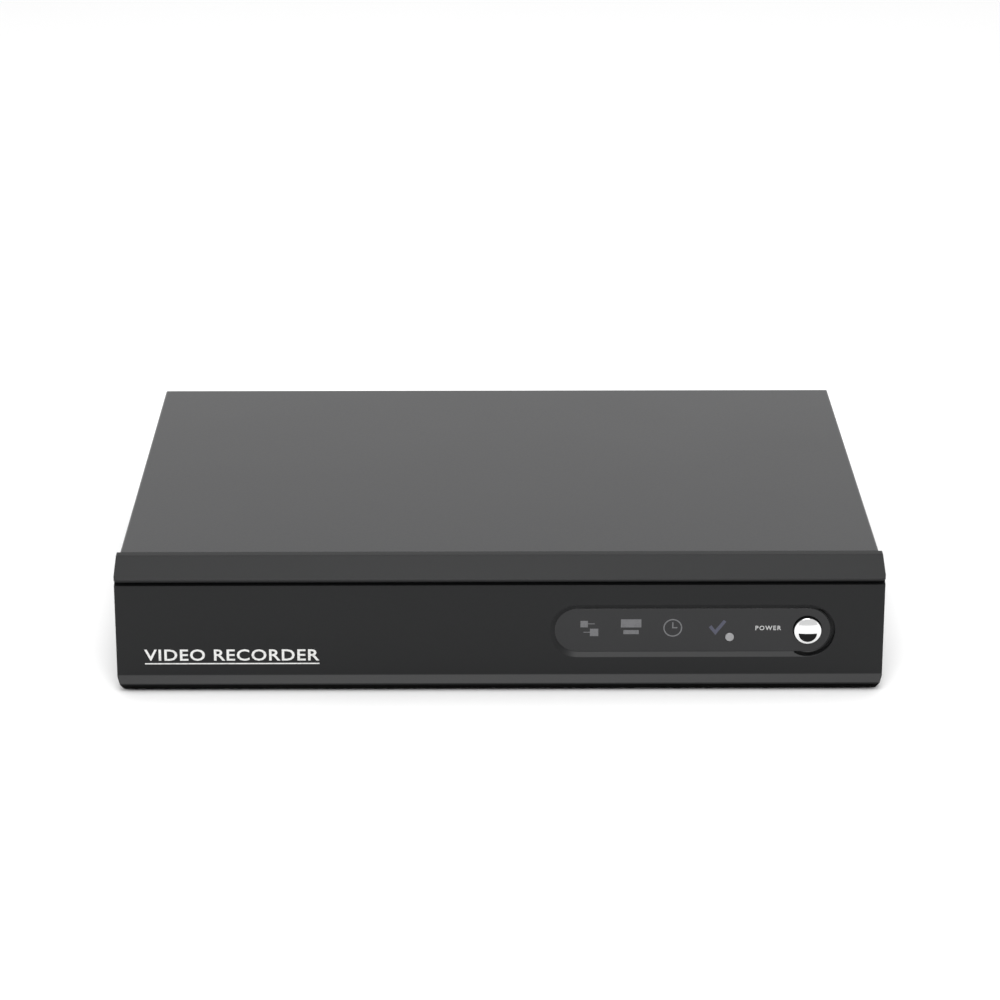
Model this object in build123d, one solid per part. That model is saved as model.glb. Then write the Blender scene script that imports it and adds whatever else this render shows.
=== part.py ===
"""Four-channel digital video recorder in a small steel case, built as separate pieces.

Row frame in millimetres: +X to the right seen from the front, +Y to the back, +Z up.
The origin is on the floor, under the centre of the whole outline, jacks included.
"""

import math
import os

from build123d import *

# ---------------------------------------------------------------- driving sizes
WIDTH = 300.0  # across the front bezel
CASE_DEPTH = 228.2  # bezel lip to the cover's rear lip
HEIGHT = 53.0  # floor to the top of the cover
JACK_REACH = 14.2  # video jacks behind the case
SHEET = 0.8  # steel sheet of the chassis and the cover
FOOT_HEIGHT = 3.0

FRONT = -(CASE_DEPTH + JACK_REACH) / 2  # the bezel's lip, the foremost line
BACK = -FRONT  # the tips of the video jacks
COVER_BACK = BACK - JACK_REACH

# ---------------------------------------------------------------- bezel
BEZEL_WALL = 2.2
BEZEL_LAND = 3.8  # flat top of the bezel behind its slope
BEZEL_CORNER_R = 2.2  # upright front corners, seen from above
LIP_TOP = 47.6  # the sloped top ends here
LIP_BOTTOM = 47.0  # underside of the brow
GAP_DEPTH = 1.7  # shadow gap under the brow, from the face to its back
GAP_TOP = 46.7
GAP_FLOOR = 45.2
FACE_TOP = 44.4
FACE = FRONT + 2.2  # the flat front face, between the brow and the chin
FACE_BOTTOM = 7.3  # where the chin starts
CHIN_NOSE = 4.0  # height of the chin's foremost line
CHIN_BACK = 3.0  # how far the chin's underside runs back
CHIN_BOTTOM = 1.0
CHIN_DEPTH = 5.5  # bottom of the chin, front to back
BEZEL_BOTTOM = 1.6
BEZEL_FLOOR = 4.6  # inner floor of the bezel
CORNER_CUT_X = 1.8  # lower corners of the bezel, seen from the front
CORNER_CUT_Z = 6.2

HOOK_WIDTH = 9.0
HOOK_HEIGHT = 2.4
HOOK_LENGTH = 11.0  # from the bezel's back edge to a hook's root
HOOK_GAP = 0.5
HOOK_BARB = 0.9  # how far a hook's end stands up behind the chassis front
HOOK_XS = (-110.0, -40.0, 16.0, 141.0)
HOOK_LEVELS = ((4.5, HOOK_BARB), (46.8, -HOOK_BARB))
HOOKS = [(x, low, step) for x in HOOK_XS for low, step in HOOK_LEVELS]

BUTTON_X = 120.3
PANEL_Z = 25.2  # height of the window and of the button
WINDOW_LEFT_X = 30.3  # centre of the window's left end
WINDOW_R = 10.9
LENS_R = 9.0
WINDOW_DEPTH = 1.2
LENS_THICK = 1.0
LENS_FACE = FACE + WINDOW_DEPTH
LENS_BACK = LENS_FACE + LENS_THICK
PAD_BACK = LENS_BACK + 1.5  # the thickened wall behind the lens
LENS_GAP = 0.05
GROOVE_R = (9.4, 10.7)  # the dark channel round the right end of the window
GROOVE_DEPTH = 2.4
GROOVE_LEFT = 5.0
GROOVE_TOP = 8.8

BUTTON_R = 5.35
BUTTON_GAP = 0.35
BUTTON_FRONT = FACE - 1.5
BUTTON_TRAVEL = 0.5
FLANGE_R = 6.9
FLANGE_THICK = 1.0

LAMP_XS = (34.7, 51.4, 67.4, 84.6)
LAMP_Z = 26.1
RECEIVER_X = 89.9
RECEIVER_Z = 22.2
RECEIVER_R = 1.75

PANEL_BOARD_FRONT = FACE + 10.0
BOARD_THICK = 1.6
PANEL_BOARD_BACK = PANEL_BOARD_FRONT + BOARD_THICK
PANEL_BOARD_X = (26.0, 134.0)
PANEL_BOARD_Z = (14.0, 41.0)
PANEL_SCREWS = ((30.0, 37.0), (130.0, 37.0), (44.0, 17.5), (104.0, 17.5))

# ---------------------------------------------------------------- chassis and cover
CHASSIS_FRONT = FACE + 15.0
CHASSIS_BACK = COVER_BACK - SHEET  # outer face of the rear panel
PANEL_IN = CHASSIS_BACK - SHEET  # inner face of the rear panel
CHASSIS_HALF = 148.0
CHASSIS_BOTTOM = FOOT_HEIGHT
FLOOR_TOP = CHASSIS_BOTTOM + SHEET
COVER_GAP = 0.05
CHASSIS_TOP = HEIGHT - SHEET - COVER_GAP
SIDE_FLANGE_TOP = 15.0
TOP_FLANGE = 8.0
COVER_HALF = 148.9
COVER_BOTTOM = 3.6
COVER_LIP_BOTTOM = 44.0
FOLD_R = 1.0
SIDE_SCREWS_Y = (-70.0, 78.0)
SIDE_SCREW_Z = 9.0
REAR_SCREWS_X = (-138.0, 88.0)
REAR_SCREW_Z = 47.6
VENT_COUNT = 14
VENT_PITCH = 6.0
VENT_FIRST_Y = -32.0
VENT_Z = (21.0, 41.0)
VENT_R = 1.25

M3_SHANK = 1.45
M3_HOLE = 1.5
M3_HEAD_R = 2.9
M3_HEAD = 1.9

FOOT_XY = ((-124.0, -86.0), (124.0, -86.0), (-124.0, 86.0), (124.0, 86.0))
FOOT_R = 9.0

# ---------------------------------------------------------------- main board
STANDOFF = 6.0
BOARD_BOTTOM = FLOOR_TOP + STANDOFF
BOARD_TOP = BOARD_BOTTOM + BOARD_THICK
BOARD_X = (-134.0, 83.0)
BOARD_Y = (2.5, 104.5)
BOARD_SCREWS = ((-130.0, 7.0), (79.0, 7.0), (-130.0, 84.0), (79.0, 76.0), (-40.0, 7.0), (-22.0, 70.0))

PORT_FACE = CHASSIS_BACK + 1.0  # rear faces of the box-shaped ports
JACK_COLUMNS = (34.0, 53.0, 72.0)
JACK_ROWS = (20.5, 37.0)
JACK_R = 4.8
AUDIO_COLUMNS = (-1.0, 13.0)
AUDIO_ROWS = (19.0, 33.0)
AUDIO_R = 4.15
AUDIO_REACH = 9.4
AUDIO_ROOT_R = 3.9  # the sleeve inside the panel and the housing
AUDIO_SHOULDER = 0.2
MONITOR_X = -42.0
MONITOR_Z = 17.8
NUT_PITCH = 24.99
BUS_X = -67.5
NETWORK_X = -86.5
TERMINAL_X = -106.0
TERMINAL_WAYS = 4
TERMINAL_PITCH = 3.81
INLET_X = -124.0
INLET_Z = BOARD_TOP + 6.3
INLET_BORE = 3.1
INLET_PIN = 1.0

# ---------------------------------------------------------------- fan
FAN_X = 112.0
FAN_Z = 24.5
FAN_SIDE = 40.0
FAN_THICK = 10.0
FAN_HOLES = 32.0
DUCT_R = 19.0
BLADES = 7
FAN_BACK = PANEL_IN - COVER_GAP
FAN_FRONT = FAN_BACK - FAN_THICK
SHAFT_R = 1.0
RUNNING_FIT = 0.05

# ---------------------------------------------------------------- hard drive
DRIVE_X = (-40.0, 107.0)
DRIVE_Y = (-101.0, 0.6)
DRIVE_BOTTOM = FLOOR_TOP + 2.2
DRIVE_TOP = DRIVE_BOTTOM + 26.1
DRIVE_LID = 0.8
DISC_R = 47.5
SPINDLE = (56.0, -50.2)
PIVOT = (6.0, -24.2)
DISC_Z = 20.0
DISC_THICK = 1.27
ARM_REACH = 50.0
PARK_ANGLE = 55.0  # between the arm and the line from pivot to spindle
DRIVE_HOLES_X = (DRIVE_X[0] + 41.28, DRIVE_X[0] + 117.48)
DRIVE_HOLES_Y = (DRIVE_Y[0] + 3.18, DRIVE_Y[1] - 3.18)
LID_SCREWS_X = (DRIVE_X[0] + 4.0, DRIVE_X[0] + 45.5, DRIVE_X[1] - 4.0)
LID_SCREWS_Y = (DRIVE_Y[0] + 2.2, DRIVE_Y[1] - 2.2)


# ---------------------------------------------------------------- helpers
def block(x, y, z):
    """A box from three (low, high) pairs."""
    size = [high - low for low, high in (x, y, z)]
    middle = [(high + low) / 2 for low, high in (x, y, z)]
    return Pos(*middle) * Box(*size)


def around(centre, size):
    """A (low, high) pair of that size about a centre."""
    return centre - size / 2, centre + size / 2


def rod_x(radius, y, z, x0, x1):
    """A cylinder along X."""
    return Pos((x0 + x1) / 2, y, z) * Rot(0, 90, 0) * Cylinder(radius, abs(x1 - x0))


def rod_y(radius, x, z, y0, y1):
    """A cylinder along Y."""
    return Pos(x, (y0 + y1) / 2, z) * Rot(90, 0, 0) * Cylinder(radius, abs(y1 - y0))


def rod_z(radius, x, y, z0, z1):
    """A cylinder along Z."""
    return Pos(x, y, (z0 + z1) / 2) * Cylinder(radius, abs(z1 - z0))


def turned_y(profile, x, z):
    """A turned solid about a line along Y, from an outline drawn in (radius, y)."""
    return Pos(x, 0, z) * revolve(make_face(profile), Axis.Y)


def side_profile(points, half_width, rounds=()):
    """A solid of constant section across X, from (y, z) points; rounds holds (point, radius) pairs."""
    outline = Polyline(*points, close=True)
    face = make_face(outline)
    for (y, z), radius in rounds:
        corner = face.vertices().sort_by_distance((y, z, 0))[0]
        face = fillet(corner, radius)
    return extrude(Plane.YZ.offset(-half_width) * face, 2 * half_width, dir=(1, 0, 0))


def window_face(radius, y):
    """The window's pill outline of that end radius, on a plane facing the back."""
    length = BUTTON_X - WINDOW_LEFT_X
    plane = Plane(origin=((BUTTON_X + WINDOW_LEFT_X) / 2, y, PANEL_Z), x_dir=(1, 0, 0), z_dir=(0, 1, 0))
    return plane * SlotCenterToCenter(length, 2 * radius)


def pan_screw(length):
    """An M3 pan-head screw: the head's underside at the origin, the shank down -Z."""
    head = Pos(0, 0, M3_HEAD / 2) * Cylinder(M3_HEAD_R, M3_HEAD)
    head = fillet(head.edges().filter_by(GeomType.CIRCLE).sort_by(Axis.Z)[-1], 0.9)
    shank = Pos(0, 0, -length / 2) * Cylinder(M3_SHANK, length)
    cross = Pos(0, 0, M3_HEAD) * (Box(3.0, 0.6, 1.6) + Box(0.6, 3.0, 1.6))
    return head + shank - cross


def group(solids):
    """Separate solids as one node."""
    return Compound(children=list(solids))


def tube_along(points, radii, radius):
    """A round cable along straight runs joined by tangent arcs."""
    path = FilletPolyline(*points, radius=radii)
    start = Plane(origin=path @ 0, z_dir=path % 0)
    return sweep(start * Circle(radius), path=path)


# ---------------------------------------------------------------- enclosure
def bezel_outline():
    """The bezel's outer solid: land, slope, brow, shadow gap, face and chin, with its corners eased."""
    back = CHASSIS_FRONT - COVER_GAP * 2
    slope_top = (back - BEZEL_LAND, HEIGHT)
    brow = (FRONT, LIP_TOP)
    chin_root = (FACE, FACE_BOTTOM)
    nose = (FRONT, CHIN_NOSE)
    outer = side_profile(
        (
            (back, HEIGHT),
            slope_top,
            brow,
            (FRONT, LIP_BOTTOM),
            (FACE + GAP_DEPTH, GAP_TOP),
            (FACE + GAP_DEPTH, GAP_FLOOR),
            (FACE, FACE_TOP),
            chin_root,
            nose,
            (FRONT + CHIN_BACK, CHIN_BOTTOM),
            (FRONT + CHIN_DEPTH, CHIN_BOTTOM),
            (FRONT + CHIN_DEPTH + 1.0, BEZEL_BOTTOM),
            (back, BEZEL_BOTTOM),
        ),
        WIDTH / 2,
        ((slope_top, 3.0), (brow, 0.6), (chin_root, 1.2), (nose, 0.5)),
    )
    depth = back - FRONT
    plan = Pos(0, FRONT + depth, 0) * Rectangle(WIDTH, 2 * depth)
    plan = fillet(plan.vertices().group_by(Axis.Y)[0], BEZEL_CORNER_R)
    outer &= extrude(plan, HEIGHT + 1)
    for side in (-1, 1):
        low_corner = Polyline(
            (side * (WIDTH / 2 + 1), CHIN_BOTTOM - 1),
            (side * (WIDTH / 2 - CORNER_CUT_X - 1.4), CHIN_BOTTOM - 1),
            (side * (WIDTH / 2 - CORNER_CUT_X - 0.6), CHIN_BOTTOM + 0.2),
            (side * (WIDTH / 2 - CORNER_CUT_X), CHIN_BOTTOM + 1.2),
            (side * (WIDTH / 2 + 0.2), CHIN_BOTTOM + CORNER_CUT_Z),
            (side * (WIDTH / 2 + 1), CHIN_BOTTOM + CORNER_CUT_Z),
            close=True,
        )
        cutter = make_face(Plane.XZ.offset(-back - 1) * low_corner)
        outer -= extrude(cutter, depth + 2, dir=(0, -1, 0))
    return outer


def window_groove():
    """The narrow channel that runs round the right end of the window, below the bevel."""
    span = (FACE - 1, FACE + GROOVE_DEPTH)
    ring = rod_y(GROOVE_R[1], BUTTON_X, PANEL_Z, *span)
    ring -= rod_y(GROOVE_R[0], BUTTON_X, PANEL_Z, *span)
    right_end = (BUTTON_X - GROOVE_LEFT, BUTTON_X + WINDOW_R + 1)
    keep = block(right_end, span, (PANEL_Z - 12.0, PANEL_Z + GROOVE_TOP))
    return ring & keep


def front_bezel():
    """The moulded front with its sloped top, brow, chin and window recess."""
    back = CHASSIS_FRONT - COVER_GAP * 2
    inner_face = FACE + BEZEL_WALL
    cavity = side_profile(
        (
            (back + 1, HEIGHT - BEZEL_WALL),
            (back - BEZEL_LAND, HEIGHT - BEZEL_WALL),
            (inner_face + GAP_DEPTH, GAP_TOP + 1.0),
            (inner_face + GAP_DEPTH, GAP_FLOOR - 1.5),
            (inner_face, FACE_TOP - 2.4),
            (inner_face, BEZEL_FLOOR),
            (back + 1, BEZEL_FLOOR),
        ),
        WIDTH / 2 - BEZEL_WALL,
    )
    bezel = bezel_outline() - cavity
    pad = window_face(WINDOW_R + 1.4, inner_face - 0.1)
    bezel += extrude(pad, PAD_BACK - inner_face + 0.1, dir=(0, 1, 0))
    for x, z in PANEL_SCREWS:
        bezel += rod_y(3.2, x, z, inner_face - 0.1, PANEL_BOARD_FRONT)
        bezel -= rod_y(M3_HOLE, x, z, PAD_BACK + 0.3, PANEL_BOARD_FRONT + 1)
    bezel -= loft([window_face(WINDOW_R, FACE), window_face(LENS_R, LENS_FACE)], ruled=True)
    bezel -= extrude(window_face(LENS_R, LENS_FACE - 0.01), LENS_THICK + 0.01, dir=(0, 1, 0))
    bezel -= window_groove()
    bezel -= rod_y(BUTTON_R + BUTTON_GAP, BUTTON_X, PANEL_Z, FACE, PAD_BACK + 1)
    for x in LAMP_XS:
        bezel -= block(around(x, 5.2), (LENS_FACE, PAD_BACK + 1), around(LAMP_Z, 5.2))
    bezel -= rod_y(RECEIVER_R + 0.1, RECEIVER_X, RECEIVER_Z, LENS_FACE, PAD_BACK + 1)
    for x, low, step in HOOKS:
        bezel += block(around(x, HOOK_WIDTH), (back - HOOK_LENGTH, back + 2.6), (low, low + HOOK_HEIGHT))
        barb = (low + step, low + step + HOOK_HEIGHT)
        bezel += block(around(x, HOOK_WIDTH), (back + 1.2, back + 2.6), barb)
    return bezel


def hook_slots():
    """The openings in the chassis front panel that the bezel's hooks click through."""
    through = (CHASSIS_FRONT - 1, CHASSIS_FRONT + 1)
    return [
        block(around(x, HOOK_WIDTH + 1.0), through, (low - HOOK_GAP, low + HOOK_HEIGHT + HOOK_GAP))
        for x, low, step in HOOKS
    ]


def display_lens():
    """The smoked window plate over the lamps."""
    lens = extrude(window_face(LENS_R - LENS_GAP, LENS_FACE), LENS_THICK - LENS_GAP, dir=(0, 1, 0))
    lens -= rod_y(BUTTON_R + BUTTON_GAP, BUTTON_X, PANEL_Z, LENS_FACE - 1, LENS_BACK + 1)
    return lens - rod_y(RECEIVER_R + 0.1, RECEIVER_X, RECEIVER_Z, LENS_FACE - 1, LENS_BACK + 1)


def receiver_window():
    """The clear round pip in front of the infrared receiver."""
    pip = rod_y(RECEIVER_R, RECEIVER_X, RECEIVER_Z, LENS_FACE - 0.4, PAD_BACK + 0.5)
    front_edge = pip.edges().filter_by(GeomType.CIRCLE).sort_by(Axis.Y)[0]
    return fillet(front_edge, 0.35)


def power_button():
    """The domed round button with the retaining flange behind the lens pad."""
    flange_front = PAD_BACK + 0.1
    back = flange_front + FLANGE_THICK
    rim = (BUTTON_R - 0.3, BUTTON_FRONT + 0.9)
    profile = ThreePointArc((0, BUTTON_FRONT), (BUTTON_R / 2, BUTTON_FRONT + 0.25), rim)
    profile += Polyline(
        rim,
        (BUTTON_R, BUTTON_FRONT + 1.2),
        (BUTTON_R, flange_front),
        (FLANGE_R, flange_front),
        (FLANGE_R, back),
        (0, back),
        (0, BUTTON_FRONT),
    )
    return turned_y(profile, BUTTON_X, PANEL_Z)


SWITCH_BACK = PANEL_BOARD_FRONT
SWITCH_FRONT = SWITCH_BACK - 3.4
PLUNGER_FRONT = PAD_BACK + 0.1 + FLANGE_THICK
PLUNGER_R = 1.75


def switch_body():
    """The housing of the tact switch behind the button, hollow for its dome."""
    body = block(around(BUTTON_X, 6.0), (SWITCH_FRONT, SWITCH_BACK), around(PANEL_Z, 6.0))
    body -= rod_y(2.5, BUTTON_X, PANEL_Z, SWITCH_FRONT + 0.6, SWITCH_BACK - 0.6)
    return body - rod_y(PLUNGER_R + 0.15, BUTTON_X, PANEL_Z, SWITCH_FRONT - 1, SWITCH_BACK - 1)


def switch_dome():
    """The snap dome that pushes the plunger and the button back out."""
    rise, rim, thick = 0.7, 2.3, 0.12
    ball = (rim**2 + rise**2) / (2 * rise)
    centre = Pos(BUTTON_X, SWITCH_BACK - 0.65 - rise + ball, PANEL_Z)
    shell = centre * Sphere(ball) - centre * Sphere(ball - thick)
    return shell & rod_y(rim, BUTTON_X, PANEL_Z, SWITCH_BACK - 0.65 - rise - 0.1, SWITCH_BACK - 0.65)


def switch_plunger():
    """The plunger between the dome and the button."""
    plunger = rod_y(PLUNGER_R, BUTTON_X, PANEL_Z, PLUNGER_FRONT, SWITCH_BACK - 1.4)
    return plunger + rod_y(2.2, BUTTON_X, PANEL_Z, SWITCH_FRONT + 0.7, SWITCH_FRONT + 1.1)


def top_cover():
    """The folded steel cover: top, two sides and a rear lip, with open-bottomed screw notches."""
    front = CHASSIS_FRONT + 0.1
    outer = block((-COVER_HALF, COVER_HALF), (front, COVER_BACK), (COVER_BOTTOM, HEIGHT))
    long_edges = outer.edges().filter_by(Axis.Y).group_by(Axis.Z)[-1]
    rear_edge = outer.edges().filter_by(Axis.X).group_by(Axis.Z)[-1].sort_by(Axis.Y)[-1:]
    outer = fillet(list(long_edges) + list(rear_edge), FOLD_R)
    inner = block(
        (-COVER_HALF + SHEET, COVER_HALF - SHEET),
        (front - 1, COVER_BACK - SHEET + COVER_GAP),
        (COVER_BOTTOM - 1, HEIGHT - SHEET),
    )
    cover = outer - inner
    inside_x = (-COVER_HALF + SHEET, COVER_HALF - SHEET)
    cover -= block(inside_x, (CHASSIS_BACK, COVER_BACK + 1), (0, COVER_LIP_BOTTOM))
    notch_r = M3_SHANK + 0.35
    lip_y = (CHASSIS_BACK - 0.02, COVER_BACK + 2)
    for y in SIDE_SCREWS_Y:
        cover -= rod_x(notch_r, y, SIDE_SCREW_Z, -WIDTH, WIDTH)
        cover -= block((-WIDTH, WIDTH), around(y, 2 * notch_r), (0, SIDE_SCREW_Z))
    for x in REAR_SCREWS_X:
        cover -= rod_y(notch_r, x, REAR_SCREW_Z, *lip_y)
        cover -= block(around(x, 2 * notch_r), lip_y, (COVER_LIP_BOTTOM - 1, REAR_SCREW_Z))
    for i in range(VENT_COUNT):
        y = VENT_FIRST_Y + i * VENT_PITCH
        cover -= block((-WIDTH, WIDTH), around(y, 2 * VENT_R), (VENT_Z[0] + VENT_R, VENT_Z[1] - VENT_R))
        for z in (VENT_Z[0] + VENT_R, VENT_Z[1] - VENT_R):
            cover -= rod_x(VENT_R, y, z, -WIDTH, WIDTH)
    return cover


def rear_openings():
    """Every hole in the rear panel: ports, jacks, fan grille and screws."""
    through = (PANEL_IN - 1, CHASSIS_BACK + 1)
    cuts = [rod_y(6.1, x, z, *through) for x in JACK_COLUMNS[:2] for z in JACK_ROWS]
    cuts.append(rod_y(6.1, JACK_COLUMNS[2], JACK_ROWS[0], *through))
    cuts.append(rod_y(AUDIO_R + 0.5, JACK_COLUMNS[2], JACK_ROWS[1], *through))
    cuts += [rod_y(AUDIO_R + 0.5, x, z, *through) for x in AUDIO_COLUMNS for z in AUDIO_ROWS]
    cuts.append(monitor_shape(0.4, PANEL_IN - 1, CHASSIS_BACK + 1))
    cuts += [rod_y(1.7, MONITOR_X + s * NUT_PITCH / 2, MONITOR_Z, *through) for s in (-1, 1)]
    cuts.append(block(around(BUS_X, 14.3), through, (BOARD_TOP - 0.2, BOARD_TOP + 16.0)))
    cuts.append(block(around(NETWORK_X, 16.8), through, (BOARD_TOP - 0.2, BOARD_TOP + 13.9)))
    terminal_width = TERMINAL_WAYS * TERMINAL_PITCH + 1.0
    cuts.append(block(around(TERMINAL_X, terminal_width), through, (BOARD_TOP - 0.2, BOARD_TOP + 10.4)))
    cuts.append(block(around(INLET_X, 9.6), through, (BOARD_TOP - 0.2, BOARD_TOP + 11.4)))
    pitch, grille_r = 5.0, 17.6
    for row in range(-4, 5):
        for column in range(-4, 5):
            x = pitch * (column + 0.5 * (row % 2))
            z = pitch * math.sqrt(3) / 2 * row
            if math.hypot(x, z) < grille_r:
                cuts.append(rod_y(2.0, FAN_X + x, FAN_Z + z, *through))
    cuts += [rod_y(1.75, x, z, *through) for x, z in fan_corners()]
    cuts += [rod_y(M3_HOLE, x, REAR_SCREW_Z, *through) for x in REAR_SCREWS_X]
    return cuts


def chassis_base():
    """The folded steel base: floor, front and rear panels, side flanges and top flanges."""
    floor = block((-CHASSIS_HALF, CHASSIS_HALF), (CHASSIS_FRONT, CHASSIS_BACK), (CHASSIS_BOTTOM, FLOOR_TOP))
    front_sheet = (CHASSIS_FRONT, CHASSIS_FRONT + SHEET)
    front = block((-CHASSIS_HALF, CHASSIS_HALF), front_sheet, (CHASSIS_BOTTOM, CHASSIS_TOP))
    rear = block((-CHASSIS_HALF, CHASSIS_HALF), (PANEL_IN, CHASSIS_BACK), (CHASSIS_BOTTOM, CHASSIS_TOP))
    base = floor + front + rear
    for low, high in ((-CHASSIS_HALF, -CHASSIS_HALF + SHEET), (CHASSIS_HALF - SHEET, CHASSIS_HALF)):
        base += block((low, high), (CHASSIS_FRONT, CHASSIS_BACK), (CHASSIS_BOTTOM, SIDE_FLANGE_TOP))
        base += block((low, high), (PANEL_IN - 9.0, CHASSIS_BACK), (CHASSIS_BOTTOM, CHASSIS_TOP))
        base += block((low, high), (CHASSIS_FRONT, CHASSIS_FRONT + 9.0), (CHASSIS_BOTTOM, CHASSIS_TOP))
    flange_z = (CHASSIS_TOP - SHEET, CHASSIS_TOP)
    base += block((-CHASSIS_HALF, CHASSIS_HALF), (CHASSIS_FRONT, CHASSIS_FRONT + TOP_FLANGE), flange_z)
    base += block((-CHASSIS_HALF, CHASSIS_HALF), (PANEL_IN - TOP_FLANGE, CHASSIS_BACK), flange_z)
    for x in DRIVE_HOLES_X:
        for y in DRIVE_HOLES_Y:
            base += rod_z(4.5, x, y, FLOOR_TOP, DRIVE_BOTTOM)
            base -= rod_z(M3_HOLE + 0.2, x, y, 0, DRIVE_BOTTOM + 1)
    for y in SIDE_SCREWS_Y:
        base -= rod_x(M3_HOLE, y, SIDE_SCREW_Z, -WIDTH, WIDTH)
    for cut in rear_openings() + hook_slots():
        base -= cut
    base -= block((60.0, 76.0), (CHASSIS_FRONT - 1, CHASSIS_FRONT + 2), (33.0, 42.0))
    for i in range(10):
        x = -118.0 + i * 8.0
        base -= block(around(x, 2.6), (30.0, 66.0), (0, FLOOR_TOP + 1))
    return base


def rubber_feet():
    """Four round stick-on feet, tapered to a smaller sole."""
    feet = []
    for x, y in FOOT_XY:
        foot = Pos(x, y, 0) * extrude(Circle(FOOT_R - 0.7), FOOT_HEIGHT, taper=-13)
        feet.append(foot - rod_z(3.0, x, y, -1, 1.2))
    return group(feet)


def cover_screws():
    """Two screws a side and two at the back, which clamp the cover to the chassis."""
    screws = []
    for side in (-1, 1):
        for y in SIDE_SCREWS_Y:
            seat = Pos(side * (COVER_HALF + COVER_GAP), y, SIDE_SCREW_Z)
            screws.append(seat * Rot(0, side * 90, 0) * pan_screw(5.0))
    for x in REAR_SCREWS_X:
        screws.append(Pos(x, COVER_BACK + COVER_GAP, REAR_SCREW_Z) * Rot(-90, 0, 0) * pan_screw(5.0))
    return group(screws)


def machine_screws():
    """The small screws that hold the main board and the front-panel board."""
    screws = [Pos(x, y, BOARD_TOP) * pan_screw(5.0) for x, y in BOARD_SCREWS]
    screws += [Pos(x, PANEL_BOARD_BACK, z) * Rot(-90, 0, 0) * pan_screw(6.0) for x, z in PANEL_SCREWS]
    return group(screws)


# ---------------------------------------------------------------- front panel electronics
def front_panel_board():
    """The narrow circuit board behind the window."""
    board = block(PANEL_BOARD_X, (PANEL_BOARD_FRONT, PANEL_BOARD_BACK), PANEL_BOARD_Z)
    for x, z in PANEL_SCREWS:
        board -= rod_y(M3_HOLE + 0.2, x, z, PANEL_BOARD_FRONT - 1, PANEL_BOARD_BACK + 1)
    return board


def indicator_lamps():
    """Four round lamps facing forward."""
    lamps = []
    for x in LAMP_XS:
        lamp = rod_y(1.5, x, LAMP_Z, PANEL_BOARD_FRONT - 3.2, PANEL_BOARD_FRONT)
        lamp = fillet(lamp.edges().filter_by(GeomType.CIRCLE).sort_by(Axis.Y)[0], 1.2)
        lamps.append(lamp + rod_y(1.9, x, LAMP_Z, PANEL_BOARD_FRONT - 0.8, PANEL_BOARD_FRONT))
    return group(lamps)


def infrared_receiver():
    """The domed infrared receiver behind its window."""
    depth = (PANEL_BOARD_FRONT - 3.4, PANEL_BOARD_FRONT)
    body = block(around(RECEIVER_X, 5.4), depth, around(RECEIVER_Z, 6.4))
    dome = Pos(RECEIVER_X, PANEL_BOARD_FRONT - 3.4, RECEIVER_Z) * Sphere(2.0)
    return body + dome


def light_guide():
    """Four clear blocks on one rail that carry the lamps' light to the lens."""
    rail_y = (PAD_BACK + 0.2, PAD_BACK + 1.6)
    guide = block((LAMP_XS[0] - 2.4, LAMP_XS[-1] + 2.4), rail_y, around(LAMP_Z + 1.9, 1.2))
    for x in LAMP_XS:
        guide += block(around(x, 4.8), (LENS_BACK, PAD_BACK + 1.6), around(LAMP_Z, 4.8))
    return guide


def panel_ribbon_cable():
    """The flat lead from the front-panel board, over the drive, down to the main board."""
    route = (
        (PANEL_BOARD_BACK, 37.5),
        (FACE + 26.0, 37.5),
        (FACE + 35.0, DRIVE_TOP + 1.0),
        (14.0, DRIVE_TOP + 1.0),
        (14.0, BOARD_TOP + 9.0),
    )
    path = FilletPolyline(*[(68.0, y, z) for y, z in route], radius=(4.0, 4.0, 7.0))
    start = Plane(origin=path @ 0, x_dir=(1, 0, 0), z_dir=path % 0)
    return sweep(start * Rectangle(12.0, 0.9), path=path)


# ---------------------------------------------------------------- main board
def main_board():
    """The main circuit board with its mounting holes."""
    board = block(BOARD_X, BOARD_Y, (BOARD_BOTTOM, BOARD_TOP))
    for x, y in BOARD_SCREWS:
        board -= rod_z(M3_HOLE + 0.2, x, y, BOARD_BOTTOM - 1, BOARD_TOP + 1)
    return board


def board_standoffs():
    """Hexagonal threaded pillars between the chassis floor and the board."""
    pillars = []
    for x, y in BOARD_SCREWS:
        pillar = Pos(x, y, FLOOR_TOP) * extrude(RegularPolygon(2.9, 6), STANDOFF)
        pillars.append(pillar - rod_z(M3_HOLE, x, y, FLOOR_TOP + 1, BOARD_BOTTOM + 1))
    return group(pillars)


PROCESSOR_XY = (-62.0, 52.0)
HEAT_SINK_SIDE = 34.0
FINS = 9


def processor():
    """The main chip under the heat sink."""
    x, y = PROCESSOR_XY
    return block(around(x, 23.0), around(y, 23.0), (BOARD_TOP, BOARD_TOP + 1.8))


def heat_sink():
    """The finned aluminium block on the processor."""
    x, y = PROCESSOR_XY
    low = BOARD_TOP + 1.8
    sink = block(around(x, HEAT_SINK_SIDE), around(y, HEAT_SINK_SIDE), (low, low + 2.2))
    pitch = (HEAT_SINK_SIDE - 1.2) / (FINS - 1)
    for i in range(FINS):
        fin_x = x - HEAT_SINK_SIDE / 2 + 0.6 + i * pitch
        sink += block(around(fin_x, 1.2), around(y, HEAT_SINK_SIDE), (low + 2.1, low + 11.0))
    return sink


def memory_chips():
    """Four memory chips in a row beside the processor."""
    y = PROCESSOR_XY[1]
    places = ((-94.0, y - 16), (-94.0, y - 2), (-62.0, y - 28), (-34.0, y - 20))
    chips = [block(around(px, 12.4), around(py, 8.4), (BOARD_TOP, BOARD_TOP + 1.1)) for px, py in places]
    return group(chips)


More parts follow.
